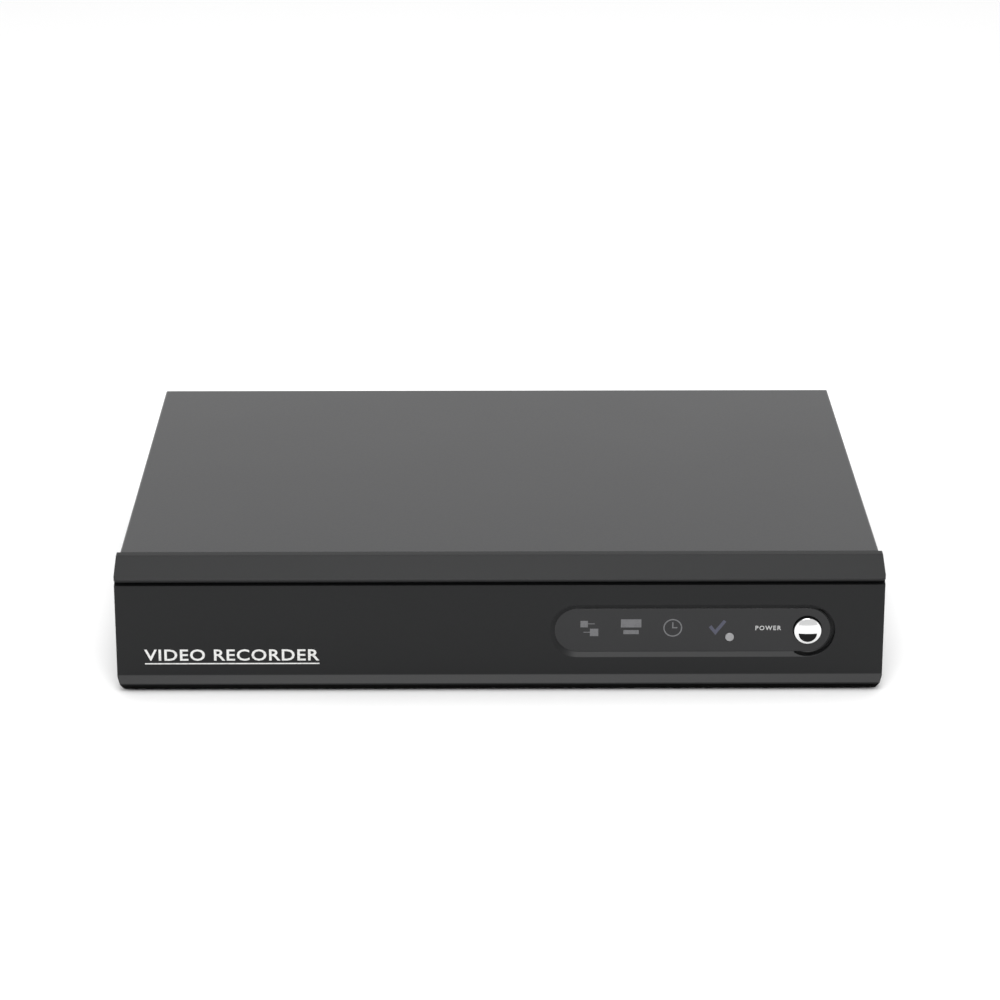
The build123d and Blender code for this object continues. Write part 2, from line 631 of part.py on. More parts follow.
def video_chips():
    """The video decoder, sound and network chips."""
    places = (
        (24.0, 54.0, 14.0),
        (50.0, 54.0, 14.0),
        (8.0, 66.0, 9.0),
        (-84.0, 78.0, 10.0),
        (66.0, 30.0, 9.0),
    )
    chips = [block(around(x, s), around(y, s), (BOARD_TOP, BOARD_TOP + 1.4)) for x, y, s in places]
    return group(chips)


CAPACITORS = (
    (-126.0, 66.0, 4.0, 11.5),
    (-126.0, 55.5, 4.0, 11.5),
    (-116.0, 62.0, 3.15, 11.0),
    (-124.0, 34.0, 3.15, 11.0),
    (-116.0, 34.0, 3.15, 11.0),
    (4.0, 24.0, 2.5, 7.0),
    (11.0, 24.0, 2.5, 7.0),
    (36.0, 30.0, 2.5, 7.0),
    (-30.0, 58.0, 2.5, 7.0),
)


def capacitors():
    """Electrolytic cans with a rolled top edge and a crimp groove."""
    cans = []
    for x, y, radius, height in CAPACITORS:
        can = rod_z(radius, x, y, BOARD_TOP, BOARD_TOP + height)
        can = fillet(can.edges().filter_by(GeomType.CIRCLE).group_by(Axis.Z)[-1], 0.5)
        crimp = rod_z(radius + 1, x, y, BOARD_TOP + 1.4, BOARD_TOP + 2.0)
        cans.append(can - (crimp - rod_z(radius - 0.3, x, y, BOARD_TOP, BOARD_TOP + 3)))
    return group(cans)


def power_coils():
    """Square shielded coils of the supply."""
    coils = []
    for x, y in ((-106.0, 64.0), (-106.0, 76.0), (-110.0, 20.0)):
        base = block(around(x, 8.0), around(y, 8.0), (BOARD_TOP, BOARD_TOP + 4.6))
        coils.append(chamfer(base.edges().filter_by(Axis.Z), 1.4))
    return group(coils)


COIN_XY = (-8.0, 40.0)


def coin_cell():
    """The clock's coin cell, lying in its holder."""
    return rod_z(10.0, *COIN_XY, BOARD_TOP + 1.2, BOARD_TOP + 4.4)


def coin_cell_holder():
    """The open holder with three claws that grip the cell."""
    x, y = COIN_XY
    holder = rod_z(12.0, x, y, BOARD_TOP, BOARD_TOP + 3.6)
    holder -= rod_z(10.15, x, y, BOARD_TOP + 1.2, BOARD_TOP + 9)
    holder -= rod_z(6.0, x, y, BOARD_TOP - 1, BOARD_TOP + 9)
    return holder


def alarm_buzzer():
    """The round buzzer with its sound hole."""
    x, y = 50.0, 16.0
    buzzer = rod_z(6.0, x, y, BOARD_TOP, BOARD_TOP + 8.5)
    return buzzer - rod_z(1.2, x, y, BOARD_TOP + 4, BOARD_TOP + 10)


DATA_X = -74.0
POWER_XS = (-97.6, -95.2, -92.8, -90.4, -88.0)
CABLE_Z = 15.6
DATA_R = 2.2
WIRE_R = 0.8
DRIVE_PLUG_X = DRIVE_X[0] - 12.0
DATA_Y = -30.0
POWER_Y = -46.0
RIBBON_X = 68.0
FAN_HEADER = (77.0, 62.0)


def power_wire_y(index):
    """Where a supply wire runs across to the drive: the outermost wire lies furthest forward."""
    return POWER_Y - 2.4 * (len(POWER_XS) - 1 - index)


def board_headers():
    """The pin headers on the boards and the drive's own socket."""
    deck = (BOARD_TOP, BOARD_TOP + 8.4)
    headers = [
        block(around(DATA_X, 14.0), (BOARD_Y[0] + 0.3, 11.0), deck),
        block((POWER_XS[0] - 2.6, POWER_XS[-1] + 2.6), (BOARD_Y[0] + 0.3, 11.0), deck),
        block(around(RIBBON_X, 15.0), around(14.0, 6.0), (BOARD_TOP, BOARD_TOP + 5.0)),
        block(around(FAN_HEADER[0], 7.5), around(FAN_HEADER[1], 6.0), (BOARD_TOP, BOARD_TOP + 4.0)),
        block((DRIVE_X[0] - 3.0, DRIVE_X[0] - 0.05), (DATA_Y - 30.0, DATA_Y + 8.0), around(CABLE_Z, 8.0)),
    ]
    return group(headers)


def cable_plugs():
    """The plug on each end of the inner leads."""
    front = BOARD_Y[0] + 0.25
    drive = (DRIVE_PLUG_X, DRIVE_X[0] - 3.05)
    plugs = [
        block(around(DATA_X, 12.4), (front - 11.0, front), around(CABLE_Z, 7.0)),
        block((POWER_XS[0] - 1.9, POWER_XS[-1] + 1.9), (front - 11.0, front), around(CABLE_Z, 7.0)),
        block(drive, around(DATA_Y, 12.4), around(CABLE_Z, 6.4)),
        block(drive, (power_wire_y(0) - 2.2, power_wire_y(len(POWER_XS) - 1) + 2.2), around(CABLE_Z, 6.4)),
        block(around(RIBBON_X, 13.6), around(14.0, 5.0), (BOARD_TOP + 5.0, BOARD_TOP + 9.0)),
        block(around(FAN_HEADER[0], 6.4), around(FAN_HEADER[1], 4.6), (BOARD_TOP + 4.0, BOARD_TOP + 8.0)),
    ]
    return group(plugs)


def drive_data_cable():
    """The round data lead from the main board to the drive."""
    front = BOARD_Y[0] + 0.25 - 11.0
    route = ((DATA_X, front, CABLE_Z), (DATA_X, DATA_Y, CABLE_Z), (DRIVE_PLUG_X, DATA_Y, CABLE_Z))
    return tube_along(route, 15.0, DATA_R)


def drive_power_cable():
    """Five side-by-side supply wires from the main board to the drive."""
    front = BOARD_Y[0] + 0.25 - 11.0
    wires = []
    for i, x in enumerate(POWER_XS):
        y = power_wire_y(i)
        bend = 14.0 + 2.4 * (len(POWER_XS) - 1 - i)
        route = ((x, front, CABLE_Z), (x, y, CABLE_Z), (DRIVE_PLUG_X, y, CABLE_Z))
        wires.append(tube_along(route, bend, WIRE_R))
    return group(wires)


def fan_lead():
    """The fan's two thin wires, from its frame up and over to their plug."""
    wires = []
    top = BOARD_TOP + 8.0
    for side in (-1, 1):
        y = FAN_HEADER[1] + side * 0.9
        route = (
            (FAN_HEADER[0], y, top),
            (FAN_HEADER[0], y, top + 9.0),
            (86.0, y + 5.0, top + 9.0),
            (86.0, FAN_FRONT + 5.0 + side * 0.9, top - 3.0),
            (FAN_X - FAN_SIDE / 2, FAN_FRONT + 5.0 + side * 0.9, top - 3.0),
        )
        wires.append(tube_along(route, (3.5, 3.0, 2.6), 0.6))
    return group(wires)


# ---------------------------------------------------------------- rear ports
def jack_places():
    """The (x, z) of every video jack: four inputs and the output."""
    return [(x, z) for x in JACK_COLUMNS[:2] for z in JACK_ROWS] + [(JACK_COLUMNS[2], JACK_ROWS[0])]


def audio_places():
    """The (x, z) of every audio jack: four inputs and the output."""
    return [(x, z) for x in AUDIO_COLUMNS for z in AUDIO_ROWS] + [(JACK_COLUMNS[2], JACK_ROWS[1])]


BLOCK_FACE = PANEL_IN - 0.1
JACK_BLOCK = 16.4


def video_jack_housings():
    """The black moulded blocks behind the panel, one a column, bored for the jacks."""
    blocks = []
    for x in JACK_COLUMNS:
        high = JACK_ROWS[1] + 8.0
        housing = block(around(x, JACK_BLOCK), (BLOCK_FACE - 22.0, BLOCK_FACE), (BOARD_TOP, high))
        for z in JACK_ROWS:
            radius = AUDIO_ROOT_R if (x, z) == (JACK_COLUMNS[2], JACK_ROWS[1]) else 5.7
            housing -= rod_y(radius + 0.02, x, z, BLOCK_FACE - 12.0, BLOCK_FACE + 1)
        blocks.append(housing)
    return group(blocks)


RIM = 3.6
LUG_BACK = 5.6


def video_jack_shells():
    """The bayonet barrels: a collar, a relieved waist with two lugs and a full-size rim."""
    shells = []
    for x, z in jack_places():
        shell = rod_y(5.7, x, z, BLOCK_FACE - 12.0, CHASSIS_BACK + 2.4)
        shell += rod_y(4.45, x, z, CHASSIS_BACK, BACK - 1)
        shell += rod_y(JACK_R, x, z, BACK - RIM, BACK)
        shell += rod_x(1.0, BACK - LUG_BACK, z, x - 5.5, x + 5.5)
        shell -= rod_y(4.05, x, z, CHASSIS_BACK, BACK + 1)
        shell -= rod_y(2.4, x, z, BLOCK_FACE - 13.0, CHASSIS_BACK + 1)
        rim_edge = shell.edges().filter_by(GeomType.CIRCLE).group_by(Axis.Y)[-1].sort_by(SortBy.RADIUS)[-1]
        shells.append(chamfer(rim_edge, 0.25))
    return group(shells)


def video_jack_insulators():
    """The white sleeves inside the barrels."""
    sleeves = []
    for x, z in jack_places():
        sleeve = rod_y(2.35, x, z, BLOCK_FACE - 12.0, BACK - 1.2)
        sleeves.append(sleeve - rod_y(0.95, x, z, BLOCK_FACE - 13.0, BACK))
    return group(sleeves)


def video_jack_contacts():
    """The gold centre sockets."""
    pins = []
    for x, z in jack_places():
        pin = rod_y(0.92, x, z, BLOCK_FACE - 12.0, BACK - 1.6)
        pins.append(pin - rod_y(0.5, x, z, BACK - 8.0, BACK))
    return group(pins)


def audio_jack_housing():
    """The black block that holds the four audio jacks."""
    x = sum(AUDIO_COLUMNS) / 2
    housing = block(around(x, 28.6), (BLOCK_FACE - 12.0, BLOCK_FACE), (BOARD_TOP, AUDIO_ROWS[1] + 7.0))
    for px, pz in audio_places()[:4]:
        housing -= rod_y(AUDIO_ROOT_R + 0.02, px, pz, BLOCK_FACE - 8.0, BLOCK_FACE + 1)
    return housing


def audio_jack_shells():
    """The tinned outer sleeves of the audio jacks."""
    shells = []
    for x, z in audio_places():
        shell = rod_y(AUDIO_ROOT_R, x, z, BLOCK_FACE - 8.0, CHASSIS_BACK + 1)
        shell += rod_y(AUDIO_R, x, z, CHASSIS_BACK + AUDIO_SHOULDER, CHASSIS_BACK + AUDIO_REACH)
        shell -= rod_y(3.2, x, z, BLOCK_FACE - 9.0, CHASSIS_BACK + AUDIO_REACH + 1)
        shells.append(shell)
    return group(shells)


def audio_jack_inserts():
    """The coloured cores of the audio jacks, each with the hole for the plug's pin."""
    cores = []
    for x, z in audio_places():
        core = rod_y(3.15, x, z, BLOCK_FACE - 8.0, CHASSIS_BACK + AUDIO_REACH - 0.3)
        cores.append(core - rod_y(1.65, x, z, CHASSIS_BACK - 1.0, CHASSIS_BACK + AUDIO_REACH))
    return group(cores)


def monitor_shape(grow, y0, y1):
    """The D outline of the monitor port, grown all round, from y0 to y1."""
    outline = Polyline((-8.2, 4.0), (8.2, 4.0), (7.0, -4.0), (-7.0, -4.0), close=True)
    plane = Plane(origin=(MONITOR_X, y0, MONITOR_Z), x_dir=(1, 0, 0), z_dir=(0, -1, 0))
    face = make_face(outline)
    face = fillet(face.vertices(), 2.2)
    if grow:
        face = offset(face, grow)
    return extrude(plane * face, y1 - y0, dir=(0, 1, 0))


def monitor_port_shell():
    """The pressed flange and D-shaped collar of the monitor port."""
    flange = block(around(MONITOR_X, 30.8), (BLOCK_FACE - 0.8, BLOCK_FACE), around(MONITOR_Z, 12.4))
    body = block(around(MONITOR_X, 30.0), (BLOCK_FACE - 12.0, BLOCK_FACE - 0.8), around(MONITOR_Z, 12.0))
    shell = flange + body + monitor_shape(0, BLOCK_FACE - 1, CHASSIS_BACK + 5.6)
    shell -= monitor_shape(-0.45, BLOCK_FACE - 6.0, CHASSIS_BACK + 6.6)
    for side in (-1, 1):
        shell -= rod_y(1.45, MONITOR_X + side * NUT_PITCH / 2, MONITOR_Z, BLOCK_FACE - 6.0, BLOCK_FACE + 1)
    return shell


def monitor_port_insert():
    """The blue core with its three rows of five contact holes."""
    core = monitor_shape(-0.5, BLOCK_FACE - 6.0, CHASSIS_BACK + 5.3)
    for row in (-1, 0, 1):
        for column in range(5):
            x = MONITOR_X + 2.29 * (column - 2) + (0.57 if row == 0 else -0.57)
            core -= rod_y(0.5, x, MONITOR_Z + 1.98 * row, CHASSIS_BACK, CHASSIS_BACK + 6)
    return core


def monitor_port_nuts():
    """The two hexagonal threaded pillars beside the monitor port."""
    nuts = []
    for side in (-1, 1):
        x = MONITOR_X + side * NUT_PITCH / 2
        plane = Plane(origin=(x, CHASSIS_BACK, MONITOR_Z), x_dir=(1, 0, 0), z_dir=(0, 1, 0))
        nut = extrude(plane * RegularPolygon(2.75, 6), 5.2, dir=(0, 1, 0))
        nut += rod_y(1.4, x, MONITOR_Z, BLOCK_FACE - 5.0, CHASSIS_BACK + 1)
        nuts.append(nut - rod_y(1.25, x, MONITOR_Z, CHASSIS_BACK, CHASSIS_BACK + 6))
    return group(nuts)


NETWORK_TOP = BOARD_TOP + 13.4
NETWORK_CAVITY = (around(NETWORK_X, 11.8), (PORT_FACE - 12.0, PORT_FACE), (BOARD_TOP + 2.6, BOARD_TOP + 9.4))


def network_port_shell():
    """The tinned can around the network socket."""
    can = block(around(NETWORK_X, 16.0), (PORT_FACE - 21.0, PORT_FACE), (BOARD_TOP, NETWORK_TOP))
    inside_z = (BOARD_TOP + 0.5, NETWORK_TOP - 0.5)
    return can - block(around(NETWORK_X, 15.0), (PORT_FACE - 20.0, PORT_FACE + 1), inside_z)


def network_port_insert():
    """The socket body, open at the back with a latch notch above the plug space."""
    x, y, z = NETWORK_CAVITY
    body_z = (BOARD_TOP + 0.55, NETWORK_TOP - 0.55)
    body = block(around(NETWORK_X, 14.9), (PORT_FACE - 19.9, PORT_FACE - 0.3), body_z)
    body -= block(x, (y[0], PORT_FACE + 1), z)
    body -= block(around(NETWORK_X, 6.4), (y[0], PORT_FACE + 1), (z[1] - 0.1, z[1] + 1.6))
    return body - block(around(NETWORK_X, 3.2), (y[0], PORT_FACE + 1), (z[1] + 1.5, z[1] + 2.6))


BUS_LEVELS = (BOARD_TOP + 4.3, BOARD_TOP + 11.3)


def bus_port_shell():
    """The can of the two stacked peripheral sockets."""
    can = block(around(BUS_X, 13.6), (PORT_FACE - 17.0, PORT_FACE), (BOARD_TOP, BOARD_TOP + 15.6))
    for z in BUS_LEVELS:
        can -= block(around(BUS_X, 12.4), (PORT_FACE - 12.0, PORT_FACE + 1), around(z, 5.2))
    return can


def bus_port_tongues():
    """The contact tongue in each peripheral socket."""
    tongues = []
    for z in BUS_LEVELS:
        tongues.append(block(around(BUS_X, 11.0), (PORT_FACE - 12.0, PORT_FACE - 1.0), around(z + 0.9, 1.8)))
    return group(tongues)


def control_terminal():
    """The four-way screw terminal for the control bus, standing out behind the panel."""
    width = TERMINAL_WAYS * TERMINAL_PITCH
    face = CHASSIS_BACK + 7.0
    body = block(around(TERMINAL_X, width), (CHASSIS_BACK - 8.0, face), (BOARD_TOP, BOARD_TOP + 10.0))
    for i in range(TERMINAL_WAYS):
        x = terminal_x(i)
        body -= block(around(x, 2.7), (face - 6.0, face + 1), (BOARD_TOP + 1.6, BOARD_TOP + 4.6))
        body -= rod_z(1.5, x, face - 3.4, BOARD_TOP + 6.2, BOARD_TOP + 11)
    return body


def terminal_x(index):
    """The centre of one way of the terminal."""
    return TERMINAL_X + TERMINAL_PITCH * (index - (TERMINAL_WAYS - 1) / 2)


def terminal_screws():
    """The slotted clamp screws of the terminal."""
    screws = []
    for i in range(TERMINAL_WAYS):
        x, y = terminal_x(i), CHASSIS_BACK + 3.6
        screw = rod_z(1.45, x, y, BOARD_TOP + 6.2, BOARD_TOP + 9.2)
        screws.append(screw - block(around(x, 4), around(y, 0.5), (BOARD_TOP + 8.5, BOARD_TOP + 10)))
    return group(screws)


def power_inlet_body():
    """The moulded supply inlet with its round mouth."""
    body = block(around(INLET_X, 9.0), (PORT_FACE - 14.0, PORT_FACE), (BOARD_TOP, BOARD_TOP + 11.0))
    return body - rod_y(INLET_BORE, INLET_X, INLET_Z, PORT_FACE - 10.0, PORT_FACE + 1)


def power_inlet_pin():
    """The centre pin of the supply inlet."""
    pin = rod_y(INLET_PIN, INLET_X, INLET_Z, PORT_FACE - 10.0, PORT_FACE - 0.6)
    return fillet(pin.edges().filter_by(GeomType.CIRCLE).sort_by(Axis.Y)[-1], 0.6)


# ---------------------------------------------------------------- fan
def fan_corners():
    """The (x, z) of the fan's four screws."""
    return [(FAN_X + sx * FAN_HOLES / 2, FAN_Z + sz * FAN_HOLES / 2) for sx in (-1, 1) for sz in (-1, 1)]


def fan_frame():
    """The square fan frame: duct, spoked hub and bearing tube."""
    frame = block(around(FAN_X, FAN_SIDE), (FAN_FRONT, FAN_BACK), around(FAN_Z, FAN_SIDE))
    frame = fillet(frame.edges().filter_by(Axis.Y), 3.0)
    frame -= rod_y(DUCT_R, FAN_X, FAN_Z, FAN_FRONT - 1, FAN_BACK + 1)
    hub_front = FAN_BACK - 2.2
    frame += rod_y(8.6, FAN_X, FAN_Z, hub_front, FAN_BACK)
    spokes = block(around(FAN_X, 2 * DUCT_R + 0.4), (hub_front + 0.4, FAN_BACK), around(FAN_Z, 1.8))
    spokes += block(around(FAN_X, 1.8), (hub_front + 0.4, FAN_BACK), around(FAN_Z, 2 * DUCT_R + 0.4))
    frame += spokes
    frame += rod_y(3.0, FAN_X, FAN_Z, FAN_FRONT + 2.4, hub_front + 0.1)
    frame -= rod_y(SHAFT_R + RUNNING_FIT, FAN_X, FAN_Z, FAN_FRONT - 1, FAN_BACK - 1.0)
    for x, z in fan_corners():
        frame -= rod_y(1.6, x, z, FAN_FRONT - 1, FAN_BACK + 1)
    return frame


def fan_rotor():
    """The rotor: cup-shaped hub, pitched blades and shaft."""
    cup_front, cup_back = FAN_FRONT + 0.5, FAN_BACK - 2.8
    blades = []
    for i in range(BLADES):
        blade = Pos(13.0, 0, 0) * Rot(48, 0, 0) * Box(10.8, 8.4, 0.9)
        blades.append(Rot(0, 0, i * 360.0 / BLADES) * blade)
    swept = blades[0]
    for blade in blades[1:]:
        swept += blade
    swept &= Cylinder(18.2, 20)
    turned = Pos(FAN_X, (cup_front + cup_back) / 2, FAN_Z) * Rot(90, 0, 0) * swept
    turned &= block(around(FAN_X, 60), (cup_front + 0.1, cup_back - 0.1), around(FAN_Z, 60))
    rotor = turned + rod_y(8.6, FAN_X, FAN_Z, cup_front, cup_back)
    rotor = rotor - rod_y(7.4, FAN_X, FAN_Z, cup_front + 1.2, cup_back + 1)
    return rotor + rod_y(SHAFT_R, FAN_X, FAN_Z, cup_front + 1.0, FAN_BACK - 1.3)


def fan_screws():
    """Four screws through the rear panel into the fan's corners."""
    return group([Pos(x, CHASSIS_BACK, z) * Rot(-90, 0, 0) * pan_screw(8.0) for x, z in fan_corners()])


# ---------------------------------------------------------------- hard drive
ARM_BAY = ((-28.0, 20.0), (DRIVE_Y[0] + 4.0, DRIVE_Y[1] - 4.0))
BAY_FLOOR = DRIVE_BOTTOM + 8.0
POST_R = 4.0
ARM_LOW, ARM_HIGH = DISC_Z - 5.0, DISC_Z + 5.0


def drive_casting():
    """The drive's cast body, hollowed for the disc and the arm, with the arm's pivot post."""
    top = DRIVE_TOP - DRIVE_LID
    casting = block(DRIVE_X, DRIVE_Y, (DRIVE_BOTTOM, top))
    casting = fillet(casting.edges().filter_by(Axis.Z), 3.0)
    casting -= rod_z(DISC_R + 1.2, *SPINDLE, BAY_FLOOR, top + 1)
    casting -= block(*ARM_BAY, (BAY_FLOOR, top + 1))
    casting += rod_z(POST_R, *PIVOT, BAY_FLOOR - 0.1, ARM_HIGH + 2.0)
    casting += rod_z(9.0, *SPINDLE, BAY_FLOOR - 0.1, BAY_FLOOR + 2.0)
    casting -= rod_z(3.0 + RUNNING_FIT, *SPINDLE, BAY_FLOOR - 2.0, BAY_FLOOR + 3.0)
    casting -= block(*board_bay(1.0), (DRIVE_BOTTOM - 1, DRIVE_BOTTOM + 3.0))
    for x in DRIVE_HOLES_X:
        for y in DRIVE_HOLES_Y:
            casting -= rod_z(M3_HOLE, x, y, DRIVE_BOTTOM - 1, DRIVE_BOTTOM + 6.0)
    for x in LID_SCREWS_X:
        for y in LID_SCREWS_Y:
            casting -= rod_z(1.05, x, y, top - 5.0, top + 1)
    return casting


def drive_cover():
    """The drive's pressed lid with a raised round field over the disc."""
    low = DRIVE_TOP - DRIVE_LID
    lid_x = (DRIVE_X[0] + 0.6, DRIVE_X[1] - 0.6)
    lid = block(lid_x, (DRIVE_Y[0] + 0.5, DRIVE_Y[1] - 0.5), (low + 0.02, low + 0.6))
    lid = fillet(lid.edges().filter_by(Axis.Z), 3.0)
    lid += rod_z(DISC_R - 4.0, *SPINDLE, low + 0.5, DRIVE_TOP)
    for x in LID_SCREWS_X:
        for y in LID_SCREWS_Y:
            lid -= rod_z(1.25, x, y, low - 1, low + 2)
    return lid


def drive_platters():
    """The disc, its hub and clamp, and the spindle that turns in the casting."""
    disc = rod_z(DISC_R, *SPINDLE, DISC_Z, DISC_Z + DISC_THICK)
    disc += rod_z(12.5, *SPINDLE, BAY_FLOOR + 2.4, DISC_Z)
    disc += rod_z(15.0, *SPINDLE, DISC_Z + DISC_THICK, DISC_Z + DISC_THICK + 1.8)
    disc -= rod_z(8.0, *SPINDLE, DISC_Z + DISC_THICK + 1.0, DISC_Z + 9)
    return disc + rod_z(3.0, *SPINDLE, BAY_FLOOR - 1.8, BAY_FLOOR + 3.0)


def drive_arm():
    """The parked head arm: pivot block, two blades that straddle the disc, and the coil paddle."""
    tip = ((ARM_REACH, -1.6), (ARM_REACH + 2.0, 0), (ARM_REACH, 1.6))
    reach = Polyline((0, -5.5), *tip, (0, 5.5), close=True)
    blade = extrude(make_face(reach), 1.0)
    paddle = extrude(make_face(Polyline((0, -6.5), (-17.0, -11.0), (-17.0, 11.0), (0, 6.5), close=True)), 2.4)
    arm = Cylinder(7.5, ARM_HIGH - ARM_LOW, align=(Align.CENTER, Align.CENTER, Align.MIN))
    arm += Pos(0, 0, DISC_Z + DISC_THICK + 0.9 - ARM_LOW) * blade
    arm += Pos(0, 0, DISC_Z - 1.9 - ARM_LOW) * blade
    arm += Pos(0, 0, 3.8) * paddle
    arm -= Cylinder(POST_R + RUNNING_FIT, 60)
    toward = math.degrees(math.atan2(SPINDLE[1] - PIVOT[1], SPINDLE[0] - PIVOT[0]))
    return Pos(*PIVOT, ARM_LOW) * Rot(0, 0, toward - PARK_ANGLE) * arm


def board_bay(margin):
    """The X and Y spans of the drive's circuit board, with a margin all round."""
    x = (DRIVE_X[0] + 31.0 - margin, DRIVE_X[1] - 13.0 + margin)
    y = (DRIVE_Y[0] + 17.0 - margin, DRIVE_Y[1] - 17.0 + margin)
    return x, y


def drive_board():
    """The circuit board under the drive."""
    return block(*board_bay(0.0), (DRIVE_BOTTOM + 1.2, DRIVE_BOTTOM + 2.8))


def drive_screws():
    """Four screws up through the chassis floor, and the small ones in the drive's lid."""
    screws = []
    for x in DRIVE_HOLES_X:
        for y in DRIVE_HOLES_Y:
            screws.append(Pos(x, y, CHASSIS_BOTTOM) * Rot(180, 0, 0) * pan_screw(8.0))
    low = DRIVE_TOP - DRIVE_LID + 0.6
    for x in LID_SCREWS_X:
        for y in LID_SCREWS_Y:
            screws.append(rod_z(2.0, x, y, low, low + 0.9) + rod_z(1.0, x, y, low - 4.5, low + 0.1))
    return group(screws)


NODES = (
    top_cover, chassis_base, front_bezel, display_lens, receiver_window, rubber_feet, cover_screws,
    machine_screws, power_button, switch_body, switch_dome, switch_plunger, front_panel_board,
    indicator_lamps, infrared_receiver, light_guide, panel_ribbon_cable, cable_plugs, main_board,
    board_standoffs, processor, heat_sink, memory_chips, video_chips, capacitors, power_coils,
    coin_cell, coin_cell_holder, alarm_buzzer, board_headers, video_jack_housings,
    video_jack_shells, video_jack_insulators, video_jack_contacts, audio_jack_housing,
    audio_jack_shells, audio_jack_inserts, monitor_port_shell, monitor_port_insert,
    monitor_port_nuts, network_port_shell, network_port_insert, bus_port_shell, bus_port_tongues,
    control_terminal, terminal_screws, power_inlet_body, power_inlet_pin, fan_frame, fan_rotor,
    fan_screws, fan_lead, drive_casting, drive_cover, drive_platters, drive_arm, drive_board,
    drive_screws, drive_data_cable, drive_power_cable,
)

os.makedirs("parts", exist_ok=True)
for build in NODES:
    export_step(build(), f"parts/{build.__name__}.step")
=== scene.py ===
"""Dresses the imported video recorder: finishes, printed marks, small parts, studio and camera."""

import logging
import math
from dataclasses import dataclass, field
from enum import Enum
from typing import Any, Iterable, Optional, Sequence, Union

import bmesh
import bpy
from mathutils import Euler, Matrix, Vector


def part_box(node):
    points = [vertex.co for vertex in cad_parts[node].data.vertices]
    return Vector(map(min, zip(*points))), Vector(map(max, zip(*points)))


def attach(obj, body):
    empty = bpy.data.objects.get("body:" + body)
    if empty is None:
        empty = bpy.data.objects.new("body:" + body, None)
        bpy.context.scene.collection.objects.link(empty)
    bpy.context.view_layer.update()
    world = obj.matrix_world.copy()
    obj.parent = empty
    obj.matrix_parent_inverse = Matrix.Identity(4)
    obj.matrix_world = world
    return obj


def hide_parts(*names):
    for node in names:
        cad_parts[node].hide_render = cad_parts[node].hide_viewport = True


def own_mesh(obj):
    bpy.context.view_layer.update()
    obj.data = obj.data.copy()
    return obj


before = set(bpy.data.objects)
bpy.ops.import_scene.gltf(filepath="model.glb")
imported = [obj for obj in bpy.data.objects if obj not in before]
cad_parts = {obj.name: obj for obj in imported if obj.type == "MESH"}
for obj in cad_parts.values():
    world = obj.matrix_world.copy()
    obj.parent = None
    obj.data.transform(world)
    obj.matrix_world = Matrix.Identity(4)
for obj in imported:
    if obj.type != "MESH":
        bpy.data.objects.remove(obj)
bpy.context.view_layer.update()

LOG = logging.getLogger("recorder")
MM = 0.001

Colour = tuple[float, float, float]
Point = tuple[float, float, float]
Flat = tuple[float, float]
Number = Union[int, float]


class Body(Enum):
    """The rigid bodies that new pieces ride on."""

    CHASSIS = "chassis"
    COVER = "cover"
    BUTTON = "power_button"
    FAN = "fan_rotor"


class Brushing(Enum):
    """The way the fine lines of a metal finish run."""

    NONE = (1.0, 1.0, 1.0)
    ALONG_X = (0.04, 1.0, 1.0)
    ALONG_Y = (1.0, 0.04, 1.0)


# ------------------------------------------------------------------ shader writing
class Wire:
    """A value socket of a material that can be used in plain sums."""

    def __init__(self, recipe: "Recipe", socket: bpy.types.NodeSocket) -> None:
        """Keeps the socket and the material it belongs to."""
        self.recipe = recipe
        self.socket = socket

    def _math(self, operation: str, *terms: Union["Wire", Number]) -> "Wire":
        """Adds one Math node.

        Args:
            operation: The node's operation.
            terms: Its inputs in order.

        Returns:
            The result as a wire.
        """
        made = self.recipe.node("ShaderNodeMath", {"operation": operation}, dict(enumerate(terms)))
        return Wire(self.recipe, made.outputs[0])

    def __add__(self, other: Union["Wire", Number]) -> "Wire":
        """Sum."""
        return self._math("ADD", self, other)

    def __radd__(self, other: Number) -> "Wire":
        """Sum with the number first."""
        return self._math("ADD", other, self)

    def __sub__(self, other: Union["Wire", Number]) -> "Wire":
        """Difference."""
        return self._math("SUBTRACT", self, other)

    def __rsub__(self, other: Number) -> "Wire":
        """Difference with the number first."""
        return self._math("SUBTRACT", other, self)

    def __mul__(self, other: Union["Wire", Number]) -> "Wire":
        """Product."""
        return self._math("MULTIPLY", self, other)

    def __rmul__(self, other: Number) -> "Wire":
        """Product with the number first."""
        return self._math("MULTIPLY", other, self)

    def __truediv__(self, other: Union["Wire", Number]) -> "Wire":
        """Quotient."""
        return self._math("DIVIDE", self, other)

    def __pow__(self, other: Number) -> "Wire":
        """Power."""
        return self._math("POWER", self, other)

    def __abs__(self) -> "Wire":
        """Size without sign."""
        return self._math("ABSOLUTE", self)

    def __gt__(self, other: Union["Wire", Number]) -> "Wire":
        """One where this is greater, else zero."""
        return self._math("GREATER_THAN", self, other)

    def greatest(self, other: Union["Wire", Number]) -> "Wire":
        """The larger of the two."""
        return self._math("MAXIMUM", self, other)

    def least(self, other: Union["Wire", Number]) -> "Wire":
        """The smaller of the two."""
        return self._math("MINIMUM", self, other)

    def repeat(self, period: float) -> "Wire":
        """The remainder after whole periods, always positive."""
        return self._math("FLOORED_MODULO", self, period)

    def ramp(self, low: float, high: float) -> "Wire":
        """Rises smoothly from zero at low to one at high.

        Args:
            low: Where the result is zero.
            high: Where the result is one.

        Returns:
            The eased value.
        """
        settings = {"interpolation_type": "SMOOTHSTEP"}
        inputs = {"Value": self, "From Min": low, "From Max": high}
        return Wire(self.recipe, self.recipe.node("ShaderNodeMapRange", settings, inputs).outputs[0])


